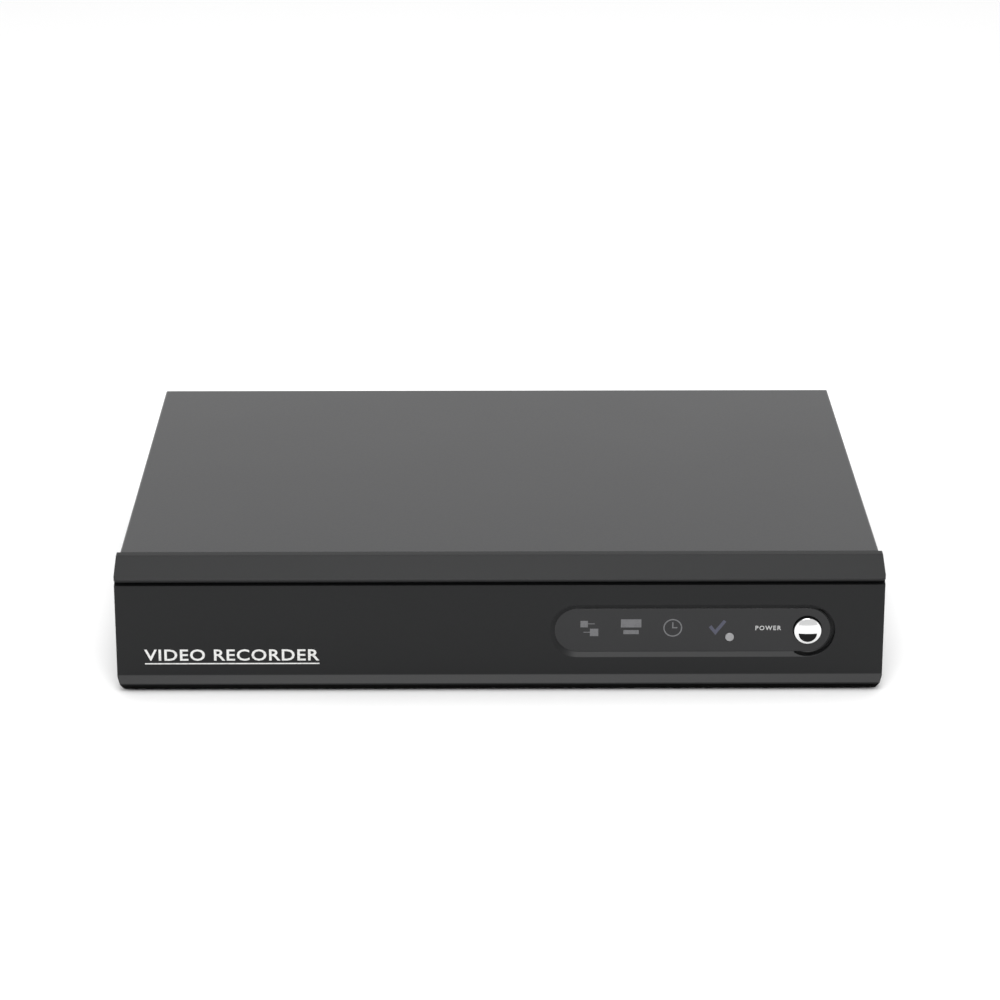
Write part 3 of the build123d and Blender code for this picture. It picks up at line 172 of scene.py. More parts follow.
class Graph:
    """A node tree that is written node by node."""

    tree: bpy.types.NodeTree

    def node(self, kind: str, settings: dict[str, Any], inputs: dict[Union[str, int], Any]) -> bpy.types.Node:
        """Adds a node, sets it up and feeds it.

        Args:
            kind: The node's type.
            settings: Properties to set first.
            inputs: Values, wires or sockets by input name or place.

        Returns:
            The new node.
        """
        made = self.tree.nodes.new(kind)
        for key, value in settings.items():
            setattr(made, key, value)
        for key, value in inputs.items():
            self.feed(made.inputs[key], value)
        return made

    def feed(self, socket: bpy.types.NodeSocket, value: Any) -> None:
        """Links or sets one input.

        Args:
            socket: The input.
            value: A wire, a socket, a number, a tuple or a material.
        """
        if isinstance(value, Wire):
            value = value.socket
        if isinstance(value, bpy.types.NodeSocket):
            self.tree.links.new(value, socket)
        elif socket.type == "RGBA":
            socket.default_value = (*value, 1.0)
        else:
            socket.default_value = value


class Recipe(Graph):
    """One material and the textures it is mixed from."""

    def __init__(self, name: str) -> None:
        """Starts an empty material with a Principled shader.

        Args:
            name: The material's name.
        """
        self.material = bpy.data.materials.new(name)
        self.material.use_nodes = True
        self.tree = self.material.node_tree
        self.tree.nodes.clear()
        self.shader = self.tree.nodes.new("ShaderNodeBsdfPrincipled")
        output = self.tree.nodes.new("ShaderNodeOutputMaterial")
        self.tree.links.new(self.shader.outputs[0], output.inputs[0])

    def place(self, stretch: Point = (1.0, 1.0, 1.0)) -> bpy.types.NodeSocket:
        """The point on the piece in metres, stretched along the axes.

        Args:
            stretch: The factor along each axis.

        Returns:
            A vector socket.
        """
        spot = self.node("ShaderNodeTexCoord", {}, {}).outputs["Object"]
        if stretch == (1.0, 1.0, 1.0):
            return spot
        return self.node("ShaderNodeMapping", {}, {"Vector": spot, "Scale": stretch}).outputs[0]

    def axes(self, vector: bpy.types.NodeSocket) -> tuple[Wire, Wire, Wire]:
        """The three parts of a vector as wires."""
        parts = self.node("ShaderNodeSeparateXYZ", {}, {0: vector}).outputs
        return Wire(self, parts[0]), Wire(self, parts[1]), Wire(self, parts[2])

    def facing(self) -> tuple[Wire, Wire, Wire]:
        """The surface's own normal on the piece, axis by axis."""
        return self.axes(self.node("ShaderNodeTexCoord", {}, {}).outputs["Normal"])

    def noise(self, size: float, detail: float = 2.0, stretch: Point = (1.0, 1.0, 1.0)) -> Wire:
        """Cloudy noise between zero and one.

        Args:
            size: The size of its features in metres.
            detail: How many finer layers it has.
            stretch: The factor along each axis.

        Returns:
            The noise as a wire.
        """
        inputs = {"Vector": self.place(stretch), "Scale": 1.0 / size, "Detail": detail, "Roughness": 0.55}
        return Wire(self, self.node("ShaderNodeTexNoise", {}, inputs).outputs[0])

    def cells(self, size: float, stretch: Point = (1.0, 1.0, 1.0)) -> Wire:
        """The distance from the middle of cells of that size in metres."""
        inputs = {"Vector": self.place(stretch), "Scale": 1.0 / size}
        return Wire(self, self.node("ShaderNodeTexVoronoi", {}, inputs).outputs["Distance"])

    def mix(self, amount: Union[Wire, Number], first: Any, second: Any) -> bpy.types.NodeSocket:
        """Blends two colours.

        Args:
            amount: How much of the second.
            first: A colour or socket.
            second: A colour or socket.

        Returns:
            The blended colour's socket.
        """
        made = self.node("ShaderNodeMix", {"data_type": "RGBA"}, {"Factor": amount})
        self.feed(made.inputs[6], first)
        self.feed(made.inputs[7], second)
        return made.outputs[2]

    def soft_edges(self, radius: float) -> bpy.types.NodeSocket:
        """A normal that rounds every sharp edge by that radius in metres."""
        return self.node("ShaderNodeBevel", {"samples": 4}, {"Radius": radius}).outputs[0]

    def bump(
        self, height: Wire, depth: float, normal: Optional[bpy.types.NodeSocket] = None
    ) -> bpy.types.NodeSocket:
        """Turns a height between zero and one into a bumped normal.

        Args:
            height: The height pattern.
            depth: Its full depth in metres.
            normal: A normal to bump from.

        Returns:
            The normal's socket.
        """
        inputs: dict[Union[str, int], Any] = {"Height": height, "Distance": depth}
        if normal is not None:
            inputs["Normal"] = normal
        return self.node("ShaderNodeBump", {}, inputs).outputs[0]

    def finish(self, **sockets: Any) -> bpy.types.Material:
        """Feeds the shader, with underscores for spaces in its socket names.

        Args:
            sockets: Values, wires or sockets by input name.

        Returns:
            The finished material.
        """
        for key, value in sockets.items():
            self.feed(self.shader.inputs[key.replace("_", " ")], value)
        return self.material


# ------------------------------------------------------------------ finishes
@dataclass(frozen=True)
class Finish:
    """A finish with a name; each kind knows how to write its material."""

    name: str

    def write(self, recipe: Recipe) -> bpy.types.Material:
        """Writes the nodes of this finish.

        Args:
            recipe: The empty material.

        Returns:
            The finished material.
        """
        raise NotImplementedError(self.name)

    def material(self) -> bpy.types.Material:
        """The one material of this finish, made on first use."""
        known = bpy.data.materials.get(self.name)
        return known if known else self.write(Recipe(self.name))


@dataclass(frozen=True)
class Enamel(Finish):
    """Stoved enamel on sheet steel, with a fine orange peel and slightly uneven gloss."""

    colour: Colour = (0.012, 0.0125, 0.0135)
    light: Colour = (0.017, 0.0175, 0.0185)
    roughness: float = 0.3
    peel: float = 0.0011
    shine: float = 0.42

    def write(self, recipe: Recipe) -> bpy.types.Material:
        """Writes peel as bump, cloudiness in the colour and the gloss.

        Args:
            recipe: The empty material.

        Returns:
            The finished material.
        """
        cloud = recipe.noise(0.06, 3.0)
        grain = recipe.noise(self.peel, 2.0)
        speck = recipe.cells(0.0035).ramp(0.05, 0.0)
        gloss = self.roughness + 0.05 * cloud + 0.06 * (grain - 0.5)
        normal = recipe.bump(grain, 0.000012, recipe.soft_edges(0.00025))
        return recipe.finish(
            Base_Color=recipe.mix((cloud * 0.8 + speck * 0.35).least(1.0), self.colour, self.light),
            Roughness=gloss,
            Normal=normal,
            Specular_IOR_Level=self.shine,
        )


@dataclass(frozen=True)
class Moulding(Finish):
    """Moulded plastic with a spark-eroded grain, and painted shade on its downward-facing underside where
    asked.
    """

    colour: Colour = (0.0055, 0.0058, 0.0062)
    light: Colour = (0.0095, 0.0098, 0.0102)
    roughness: float = 0.42
    grain: float = 0.00045
    depth: float = 0.00002
    edge: float = 0.0002
    shine: float = 0.2
    # How strongly painted shade darkens faces that point down, and the near-black colour of that painted
    # shade.
    under: float = 0.0
    underside_shade: Colour = (0.002, 0.002, 0.002)

    def write(self, recipe: Recipe) -> bpy.types.Material:
        """Writes the grain as bump and as small changes of colour and gloss, and paints shade on the
        underside.

        Args:
            recipe: The empty material.

        Returns:
            The finished material.
        """
        pits = recipe.noise(self.grain, 3.0)
        flow = recipe.noise(0.045, 2.0, (0.35, 1.0, 1.0))
        normal = recipe.bump(pits, self.depth, recipe.soft_edges(self.edge))
        # Painted shade: faces pointing down are darkened to near black and made metallic and rougher,
        # standing in for the shade under the bezel's chin.
        painted_shade = self.under * (0.0 - recipe.facing()[2]).ramp(0.6, 0.68)
        tone = recipe.mix(pits * 0.6 + flow * 0.4, self.colour, self.light)
        return recipe.finish(
            Base_Color=recipe.mix(painted_shade, tone, self.underside_shade),
            Roughness=self.roughness + 0.08 * (pits - 0.5) + 0.05 * (flow - 0.5) + 0.5 * painted_shade,
            Metallic=painted_shade,
            Normal=normal,
            Specular_IOR_Level=self.shine,
        )


@dataclass(frozen=True)
class Glossy(Finish):
    """Polished plastic with faint hairlines and a clear coat."""

    colour: Colour = (0.006, 0.0062, 0.0068)
    light: Colour = (0.008, 0.0082, 0.009)
    roughness: float = 0.12
    coat: float = 0.0
    shine: float = 0.38

    def write(self, recipe: Recipe) -> bpy.types.Material:
        """Writes hairlines in the gloss and a cloudy depth in the colour.

        Args:
            recipe: The empty material.

        Returns:
            The finished material.
        """
        cloud = recipe.noise(0.012, 2.0)
        hair = recipe.noise(0.0012, 2.0, (0.05, 1.0, 1.0)).ramp(0.55, 0.75)
        return recipe.finish(
            Base_Color=recipe.mix(cloud, self.colour, self.light),
            Roughness=self.roughness + 0.08 * hair + 0.04 * cloud,
            Coat_Weight=self.coat,
            Specular_IOR_Level=self.shine,
            Coat_Roughness=0.06,
            Normal=recipe.bump(cloud, 0.00001, recipe.soft_edges(0.00015)),
        )


@dataclass(frozen=True)
class Metal(Finish):
    """Bare, plated or brushed metal with uneven gloss and faint stains."""

    colour: Colour = (0.62, 0.62, 0.6)
    stain: Colour = (0.45, 0.45, 0.44)
    roughness: float = 0.28
    brushing: Brushing = Brushing.NONE
    line: float = 0.00025
    depth: float = 0.000004
    edge: float = 0.00015
    cover: float = 0.6

    def write(self, recipe: Recipe) -> bpy.types.Material:
        """Writes brushed lines and blotchy tarnish.

        Args:
            recipe: The empty material.

        Returns:
            The finished material.
        """
        lines = recipe.noise(self.line, 2.0, self.brushing.value)
        blotch = recipe.noise(0.008, 3.0).ramp(0.35, 0.8)
        normal = recipe.bump(lines, self.depth, recipe.soft_edges(self.edge))
        return recipe.finish(
            Base_Color=recipe.mix(blotch * self.cover + lines * 0.25, self.colour, self.stain),
            Metallic=1.0,
            Roughness=self.roughness + 0.1 * (lines - 0.5) + 0.13 * self.cover * blotch,
            Normal=normal,
        )


@dataclass(frozen=True)
class Cast(Finish):
    """Die-cast aluminium with a pebbled skin."""

    colour: Colour = (0.42, 0.43, 0.44)
    pit: Colour = (0.25, 0.26, 0.27)

    def write(self, recipe: Recipe) -> bpy.types.Material:
        """Writes pebbles from cells and flow marks from noise.

        Args:
            recipe: The empty material.

        Returns:
            The finished material.
        """
        pebble = recipe.cells(0.0009)
        flow = recipe.noise(0.02, 3.0)
        return recipe.finish(
            Base_Color=recipe.mix((pebble * 0.5 + flow * 0.5).least(1.0), self.colour, self.pit),
            Metallic=0.9,
            Roughness=0.42 + 0.15 * flow,
            Normal=recipe.bump(pebble, 0.00006, recipe.soft_edges(0.0003)),
        )


@dataclass(frozen=True)
class Board(Finish):
    """Solder mask over copper tracks, with small plated holes."""

    colour: Colour = (0.004, 0.05, 0.02)
    track: Colour = (0.012, 0.11, 0.045)
    hole: Colour = (0.45, 0.42, 0.3)
    pitch: float = 0.0011
    patches: float = 95.0

    def write(self, recipe: Recipe) -> bpy.types.Material:
        """Writes bundles of parallel tracks that turn from patch to patch.

        Args:
            recipe: The empty material.

        Returns:
            The finished material.
        """
        x, y, z = recipe.axes(recipe.place())
        spread = {"Vector": recipe.place((1.0, 1.0, 0.0)), "Scale": self.patches}
        patches = recipe.node("ShaderNodeTexVoronoi", {"distance": "MANHATTAN"}, spread)
        pick, spare, bare = recipe.axes(patches.outputs["Color"])
        across = (abs(x.repeat(self.pitch) - self.pitch / 2) / self.pitch).ramp(0.27, 0.2)
        along = (abs((y + z).repeat(self.pitch) - self.pitch / 2) / self.pitch).ramp(0.27, 0.2)
        side = pick > 0.5
        tracks = (across * side + along * (1.0 - side)) * (spare > 0.3)
        tracks = tracks.greatest(bare > 0.86)
        vias = recipe.cells(0.0052, (1.0, 1.0, 0.0))
        ring = vias.ramp(0.085, 0.075)
        tone = recipe.mix(tracks, self.colour, self.track)
        return recipe.finish(
            Base_Color=recipe.mix(ring, tone, self.hole),
            Metallic=ring * 0.8,
            Roughness=0.3 + 0.1 * recipe.noise(0.01, 2.0),
            Normal=recipe.bump(tracks.greatest(ring), 0.00003),
        )


@dataclass(frozen=True)
class ChipCase(Finish):
    """Black moulded chip body with a faint laser-marked panel, no letters."""

    colour: Colour = (0.014, 0.014, 0.015)
    mark: Colour = (0.09, 0.09, 0.088)
    pitch: float = 0.0024

    def write(self, recipe: Recipe) -> bpy.types.Material:
        """Writes the matt moulding and rows of short marks on the top.

        Args:
            recipe: The empty material.

        Returns:
            The finished material.
        """
        y = recipe.axes(recipe.place())[1]
        top = recipe.facing()[2] > 0.9
        row = abs(y.repeat(self.pitch) - self.pitch / 2).ramp(0.00045, 0.00038)
        dash = recipe.noise(0.0009, 0.0, (1.0, 0.3, 0.0)).ramp(0.5, 0.56)
        block = recipe.noise(0.011, 0.0, (1.0, 1.0, 0.0)).ramp(0.47, 0.5)
        marks = row * dash * block * top
        grit = recipe.noise(0.0003, 2.0)
        return recipe.finish(
            Base_Color=recipe.mix(marks * 0.8, self.colour, self.mark),
            Roughness=0.55 + 0.2 * (grit - 0.5),
            Normal=recipe.bump(grit, 0.00001, recipe.soft_edges(0.00015)),
        )


@dataclass(frozen=True)
class CanSleeve(Finish):
    """Capacitor can: a printed sleeve round it and bare aluminium on top."""

    sleeve: Colour = (0.01, 0.013, 0.03)
    stripe: Colour = (0.45, 0.45, 0.42)
    top: Colour = (0.7, 0.7, 0.69)

    def write(self, recipe: Recipe) -> bpy.types.Material:
        """Writes the sleeve, its pale stripe and the bare top with its vent cross.

        Args:
            recipe: The empty material.

        Returns:
            The finished material.
        """
        right, _, up = recipe.facing()
        lid = up.ramp(0.45, 0.6)
        stripe = right.ramp(0.86, 0.9)
        skin = recipe.mix(stripe, self.sleeve, self.stripe)
        grain = recipe.noise(0.0004, 2.0)
        return recipe.finish(
            Base_Color=recipe.mix(lid, skin, self.top),
            Metallic=lid,
            Roughness=0.34 + 0.12 * grain,
            Normal=recipe.bump(grain, 0.00001),
        )


@dataclass(frozen=True)
class Ink(Finish):
    """A thin screen-printed ink, a little worn."""

    colour: Colour = (0.78, 0.78, 0.76)
    worn: Colour = (0.5, 0.5, 0.49)
    roughness: float = 0.5

    def write(self, recipe: Recipe) -> bpy.types.Material:
        """Writes the ink with its uneven cover.

        Args:
            recipe: The empty material.

        Returns:
            The finished material.
        """
        wear = recipe.noise(0.0006, 3.0).ramp(0.45, 0.75)
        return recipe.finish(
            Base_Color=recipe.mix(wear, self.colour, self.worn),
            Roughness=self.roughness + 0.1 * wear,
            Normal=recipe.bump(wear, 0.000008),
        )


@dataclass(frozen=True)
class Rubber(Finish):
    """Matt black rubber with a dusty bloom."""

    colour: Colour = (0.012, 0.012, 0.012)
    bloom: Colour = (0.04, 0.04, 0.039)

    def write(self, recipe: Recipe) -> bpy.types.Material:
        """Writes dust and a fine moulded grain.

        Args:
            recipe: The empty material.

        Returns:
            The finished material.
        """
        dust = recipe.noise(0.004, 4.0).ramp(0.4, 0.8)
        grain = recipe.noise(0.0005, 2.0)
        return recipe.finish(
            Base_Color=recipe.mix(dust, self.colour, self.bloom),
            Roughness=0.8 + 0.1 * (grain - 0.5),
            Normal=recipe.bump(grain, 0.00003),
        )


@dataclass(frozen=True)
class Striped(Finish):
    """A flat lead of many parallel wires, or a sheet with printed lines."""

    colour: Colour = (0.35, 0.35, 0.36)
    line: Colour = (0.12, 0.12, 0.13)
    pitch: float = 0.001
    axis: int = 0
    roughness: float = 0.5

    def write(self, recipe: Recipe) -> bpy.types.Material:
        """Writes the grooves between the wires across the chosen axis.

        Args:
            recipe: The empty material.

        Returns:
            The finished material.
        """
        across = recipe.axes(recipe.place())[self.axis]
        ridge = abs(across.repeat(self.pitch) - self.pitch / 2) / (self.pitch / 2)
        groove = ridge.ramp(0.7, 0.95)
        return recipe.finish(
            Base_Color=recipe.mix(groove, self.colour, self.line),
            Roughness=self.roughness + 0.1 * recipe.noise(0.003, 2.0),
            Normal=recipe.bump(1.0 - groove, 0.00015),
        )


@dataclass(frozen=True)
class PaperLabel(Finish):
    """A paper label with plain ruled lines and no letters."""

    paper: Colour = (0.72, 0.72, 0.7)
    rule: Colour = (0.12, 0.12, 0.13)
    pitch: float = 0.0034

    def write(self, recipe: Recipe) -> bpy.types.Material:
        """Writes broken rules in some of the label's fields.

        Args:
            recipe: The empty material.

        Returns:
            The finished material.
        """
        y = recipe.axes(recipe.place())[1]
        rows = abs(y.repeat(self.pitch) - self.pitch / 2).ramp(0.0005, 0.0004)
        fields = recipe.noise(0.02, 0.0, (1.0, 1.4, 0.0)).ramp(0.5, 0.52)
        breaks = recipe.noise(0.0035, 0.0, (1.0, 0.5, 0.0)).ramp(0.42, 0.44)
        fibre = recipe.noise(0.0005, 3.0)
        return recipe.finish(
            Base_Color=recipe.mix(rows * fields * breaks * 0.85, self.paper, self.rule),
            Roughness=0.45 + 0.15 * fibre,
            Normal=recipe.bump(fibre, 0.00001),
        )


@dataclass(frozen=True)
class Disc(Finish):
    """The polished recording surface, with faint rings about the spindle."""

    centre: Flat = (0.056, -0.0502)
    colour: Colour = (0.78, 0.78, 0.78)
    ring: Colour = (0.55, 0.56, 0.58)
    pitch: float = 0.0016

    def write(self, recipe: Recipe) -> bpy.types.Material:
        """Writes rings by the distance from the spindle.

        Args:
            recipe: The empty material.

        Returns:
            The finished material.
        """
        x, y, _ = recipe.axes(recipe.place())
        radius = ((x - self.centre[0]) ** 2.0 + (y - self.centre[1]) ** 2.0) ** 0.5
        rings = abs(radius.repeat(self.pitch) - self.pitch / 2) / (self.pitch / 2)
        return recipe.finish(
            Base_Color=recipe.mix(rings * 0.12, self.colour, self.ring),
            Metallic=1.0,
            Roughness=0.06 + 0.03 * rings,
        )


@dataclass(frozen=True)
class StudioFloor(Finish):
    """The pale matt floor of the studio."""

    colour: Colour = (0.86, 0.86, 0.86)
    worn: Colour = (0.83, 0.83, 0.83)

    def write(self, recipe: Recipe) -> bpy.types.Material:
        """Writes an almost even pale surface.

        Args:
            recipe: The empty material.

        Returns:
            The finished material.
        """
        tone = recipe.noise(0.8, 2.0) * 0.3
        return recipe.finish(
            Base_Color=recipe.mix(tone, self.colour, self.worn),
            Roughness=0.9,
            Specular_IOR_Level=0.1,
        )


@dataclass(frozen=True)
class Palette:
    """Every finish of the recorder under a maker's name."""

    cover: Finish = Enamel("cover_enamel")
    chassis: Finish = Enamel("chassis_enamel", (0.014, 0.0145, 0.0155), (0.02, 0.0205, 0.0215), 0.38)
    # The bezel gets painted shade on its downward-facing underside.
    bezel: Finish = Moulding("bezel_moulding", under=1.0)
    lens: Finish = Glossy("smoked_window")
    receiver: Finish = Glossy("receiver_pip", (0.2, 0.2, 0.205), (0.25, 0.25, 0.255), 0.2)
    infrared: Finish = Glossy("infrared_moulding", (0.02, 0.012, 0.02), (0.03, 0.02, 0.03), 0.15, 0.0, 0.5)
    clear: Finish = Glossy("clear_moulding", (0.6, 0.62, 0.62), (0.7, 0.71, 0.7), 0.12, 0.2, 0.5)
    button: Finish = Metal(
        "chromed_button", (0.62, 0.62, 0.63), (0.56, 0.56, 0.57), 0.3, depth=0.000001, edge=0.0
    )
    # Dark half disc on the chromed dome: a painted reflection of the black recess below the button.
    painted_reflection: Finish = Glossy(
        "button_painted_reflection", (0.004, 0.004, 0.0042), (0.006, 0.006, 0.0062), 0.45, 0.0, 0.1
    )
    rubber: Finish = Rubber("foot_rubber")
    dark_screw: Finish = Metal("blackened_screw", (0.055, 0.055, 0.058), (0.03, 0.03, 0.032), 0.35)
    bright: Finish = Metal("nickel_plate", (0.68, 0.67, 0.64), (0.5, 0.49, 0.46), 0.22)
    tin: Finish = Metal("tinned_sheet", (0.72, 0.72, 0.71), (0.52, 0.52, 0.5), 0.3, Brushing.ALONG_X)
    steel_lid: Finish = Metal(
        "drive_lid_steel", (0.58, 0.59, 0.6), (0.53, 0.54, 0.55), 0.3, Brushing.ALONG_X, cover=0.2
    )
    gold: Finish = Metal("gold_plate", (0.83, 0.6, 0.26), (0.62, 0.43, 0.17), 0.25)
    anodised: Finish = Metal(
        "black_anodising", (0.03, 0.03, 0.033), (0.018, 0.018, 0.02), 0.4, Brushing.ALONG_Y
    )
    cast: Finish = Cast("drive_casting_skin")
    disc: Finish = Disc("recording_surface")
    black: Finish = Moulding("black_part_moulding", grain=0.0003, depth=0.00001, edge=0.00015)
    white: Finish = Moulding("natural_moulding", (0.62, 0.6, 0.55), (0.72, 0.7, 0.64), 0.45, 0.0006, 0.00001)
    red: Finish = Moulding("red_moulding", (0.42, 0.012, 0.012), (0.5, 0.02, 0.018), 0.35, 0.0006, 0.00001)
    blue: Finish = Moulding("blue_moulding", (0.012, 0.05, 0.34), (0.018, 0.07, 0.42), 0.38, 0.0006, 0.00001)
    green: Finish = Moulding("green_moulding", (0.012, 0.2, 0.06), (0.02, 0.27, 0.09), 0.4, 0.0006, 0.00001)
    board: Finish = Board("green_solder_mask")
    drive_board: Finish = Board("blue_solder_mask", (0.006, 0.02, 0.07), (0.012, 0.045, 0.13))
    chip: Finish = ChipCase("chip_case")
    can: Finish = CanSleeve("capacitor_sleeve")
    print_white: Finish = Ink("front_print", (0.6, 0.6, 0.59), (0.42, 0.42, 0.41))
    print_faint: Finish = Ink("window_print", (0.1, 0.1, 0.105), (0.075, 0.075, 0.08), 0.3)
    print_blue: Finish = Ink("window_print_blue", (0.042, 0.044, 0.07), (0.034, 0.036, 0.058), 0.3)
    print_label: Finish = Ink("window_label", (0.38, 0.38, 0.38), (0.3, 0.3, 0.3), 0.3)
    ribbon: Finish = Striped("flat_lead")
    label: Finish = PaperLabel("drive_label")
    red_jacket: Finish = Glossy("data_lead_jacket", (0.42, 0.012, 0.012), (0.5, 0.02, 0.02), 0.35, 0.1, 0.5)
    dark_jacket: Finish = Glossy(
        "supply_wire_jacket", (0.02, 0.02, 0.021), (0.03, 0.03, 0.031), 0.38, 0.1, 0.5
    )
    floor: Finish = StudioFloor("studio_floor")


FINISHES = Palette()


# ------------------------------------------------------------------ mesh writing
def link(name: str, mesh: bpy.types.Mesh, finish: Finish, body: Body) -> bpy.types.Object:
    """Puts a mesh in the scene as a piece of the recorder.

    Args:
        name: The piece's name.
        mesh: Its mesh, already in place.
        finish: Its finish.
        body: The body it rides on.

    Returns:
        The new object.
    """
    mesh.materials.clear()
    mesh.materials.append(finish.material())
    piece = bpy.data.objects.new(name, mesh)
    bpy.context.scene.collection.objects.link(piece)
    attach(piece, body.value)
    LOG.info("built %s with %d faces", name, len(mesh.polygons))
    return piece


def from_bmesh(
    name: str, shape: bmesh.types.BMesh, finish: Finish, body: Body, smooth: bool = False
) -> bpy.types.Object:
    """Turns a bmesh into a piece, with its faces outward.

    Args:
        name: The piece's name.
        shape: The bmesh, which is freed.
        finish: Its finish.
        body: The body it rides on.
        smooth: Whether curved faces are shaded smooth.

    Returns:
        The new object.
    """
    bmesh.ops.remove_doubles(shape, verts=shape.verts, dist=1e-7)
    bmesh.ops.recalc_face_normals(shape, faces=shape.faces)
    mesh = bpy.data.meshes.new(name)
    shape.to_mesh(mesh)
    shape.free()
    if smooth:
        mesh.shade_smooth()
        mesh.set_sharp_from_angle(angle=math.radians(35.0))
    return link(name, mesh, finish, body)


def prism(shape: bmesh.types.BMesh, outline: Sequence[Point], push: Point) -> None:
    """Adds a closed solid: an outline and the same outline pushed along.

    Args:
        shape: The bmesh to add to.
        outline: Corners in order.
        push: The way from the first cap to the second.
    """
    near = [shape.verts.new(corner) for corner in outline]
    far = [shape.verts.new(Vector(corner) + Vector(push)) for corner in outline]
    shape.faces.new(near)
    shape.faces.new(far[::-1])
    count = len(near)
    for i in range(count):
        j = (i + 1) % count
        shape.faces.new((near[i], near[j], far[j], far[i]))


def band(shape: bmesh.types.BMesh, outer: Sequence[Point], inner: Sequence[Point], push: Point) -> None:
    """Adds a closed ring between two outlines with as many corners each.

    Args:
        shape: The bmesh to add to.
        outer: The outer outline.
        inner: The inner outline.
        push: The way from the first face to the second.
    """
    rows = []
    for outline in (outer, inner):
        rows.append([shape.verts.new(corner) for corner in outline])
        rows.append([shape.verts.new(Vector(corner) + Vector(push)) for corner in outline])
    near_out, far_out, near_in, far_in = rows
    count = len(near_out)
    for i in range(count):
        j = (i + 1) % count
        shape.faces.new((near_out[i], near_out[j], near_in[j], near_in[i]))
        shape.faces.new((far_out[j], far_out[i], far_in[i], far_in[j]))
        shape.faces.new((near_out[j], near_out[i], far_out[i], far_out[j]))
        shape.faces.new((near_in[i], near_in[j], far_in[j], far_in[i]))


def circle(centre: Flat, radius: float, steps: int = 32) -> list[Flat]:
    """Points round a circle in a plane.

    Args:
        centre: Its middle.
        radius: Its radius.
        steps: How many points.

    Returns:
        The points in order.
    """
    turn = [2.0 * math.pi * i / steps for i in range(steps)]
    return [(centre[0] + radius * math.cos(a), centre[1] + radius * math.sin(a)) for a in turn]


def lathe(
    name: str, profile: Sequence[Flat], centre: Point, finish: Finish, body: Body, steps: int = 72
) -> bpy.types.Object:
    """Turns a profile about a line along Y.

    Args:
        name: The piece's name.
        profile: (radius, y) pairs from the front of the axis to its back.
        centre: The line's x and z; its y is added to the profile's.
        finish: The finish.
        body: The body it rides on.
        steps: Facets round the line.

    Returns:
        The turned piece.
    """
    shape = bmesh.new()
    rings = []
    for radius, y in profile:
        if radius < 1e-9:
            rings.append([shape.verts.new((centre[0], centre[1] + y, centre[2]))] * steps)
            continue
        ring = circle((centre[0], centre[2]), radius, steps)
        rings.append([shape.verts.new((px, centre[1] + y, pz)) for px, pz in ring])
    for first, second in zip(rings, rings[1:]):
        for i in range(steps):
            j = (i + 1) % steps
            corners = []
            for corner in (first[i], first[j], second[j], second[i]):
                if corner not in corners:
                    corners.append(corner)
            if len(corners) > 2:
                shape.faces.new(corners)
    return from_bmesh(name, shape, finish, body, smooth=True)


@dataclass
class Lettering:
    """Plain upright printed characters on a face, raised by the ink's thickness."""

    words: str
    size: float
    corner: Point
    finish: Finish
    backward: bool = False
    spread: float = 1.0
    heavy: float = 0.0
    ink: float = 0.02 * MM

    def mesh(self) -> bpy.types.Mesh:
        """Sets the characters and stands them on their face.

        Returns:
            The mesh in place.
        """
        curve = bpy.data.curves.new("lettering", "FONT")
        curve.body = self.words
        curve.size = self.size
        curve.space_character = self.spread
        curve.offset = self.heavy
        curve.extrude = self.ink
        curve.resolution_u = 3
        holder = bpy.data.objects.new("lettering", curve)
        bpy.context.scene.collection.objects.link(holder)
        bpy.context.view_layer.update()
        mesh = bpy.data.meshes.new_from_object(holder.evaluated_get(bpy.context.evaluated_depsgraph_get()))
        turn = Euler((math.pi / 2, 0.0, math.pi if self.backward else 0.0)).to_matrix().to_4x4()
        mesh.transform(Matrix.Translation(self.corner) @ turn)
        bpy.data.objects.remove(holder)
        bpy.data.curves.remove(curve)
        return mesh


def merged_copy(node: str) -> bmesh.types.BMesh:
    """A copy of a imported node's mesh with its doubled points merged.

    Args:
        node: The node's name.

    Returns:
        The merged copy.
    """
    shape = bmesh.new()
    shape.from_mesh(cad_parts[node].data)
    bmesh.ops.remove_doubles(shape, verts=shape.verts, dist=2e-6)
    return shape


@dataclass
class RefinedNode:
    """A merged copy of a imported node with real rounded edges, which stands for the node."""

    node: str
    finish: Finish
    body: Body
    edge: float = 0.2 * MM
    angle: float = 32.0
    flat: float = 0.4

    def build(self) -> bpy.types.Object:
        """Copies, merges and rounds.

        Returns:
            The refined piece.
        """
        shape = merged_copy(self.node)
        bmesh.ops.dissolve_degenerate(shape, edges=shape.edges, dist=1e-6)
        bmesh.ops.dissolve_limit(
            shape,
            angle_limit=math.radians(self.flat),
            verts=shape.verts,
            edges=shape.edges,
            use_dissolve_boundaries=False,
        )
        mesh = bpy.data.meshes.new(self.node)
        shape.to_mesh(mesh)
        shape.free()
        if "custom_normal" in mesh.attributes:
            mesh.attributes.remove(mesh.attributes["custom_normal"])
        mesh.shade_smooth()
        mesh.set_sharp_from_angle(angle=math.radians(self.angle))
        piece = link(f"{self.node}_rounded", mesh, self.finish, self.body)
        rounding = piece.modifiers.new("edges", "BEVEL")
        rounding.width = self.edge
        rounding.segments = 2
        rounding.limit_method = "ANGLE"
        rounding.angle_limit = math.radians(self.angle)
        rounding.harden_normals = True
        rounding.use_clamp_overlap = True
        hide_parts(self.node)
        return piece


def dress(finish: Finish, *nodes: str) -> None:
    """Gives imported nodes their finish.

    Args:
        finish: The finish.
        nodes: The nodes' names.
    """
    for node in nodes:
        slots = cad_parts[node].data.materials
        slots.clear()
        slots.append(finish.material())
        LOG.info("dressed %s in %s", node, finish.name)


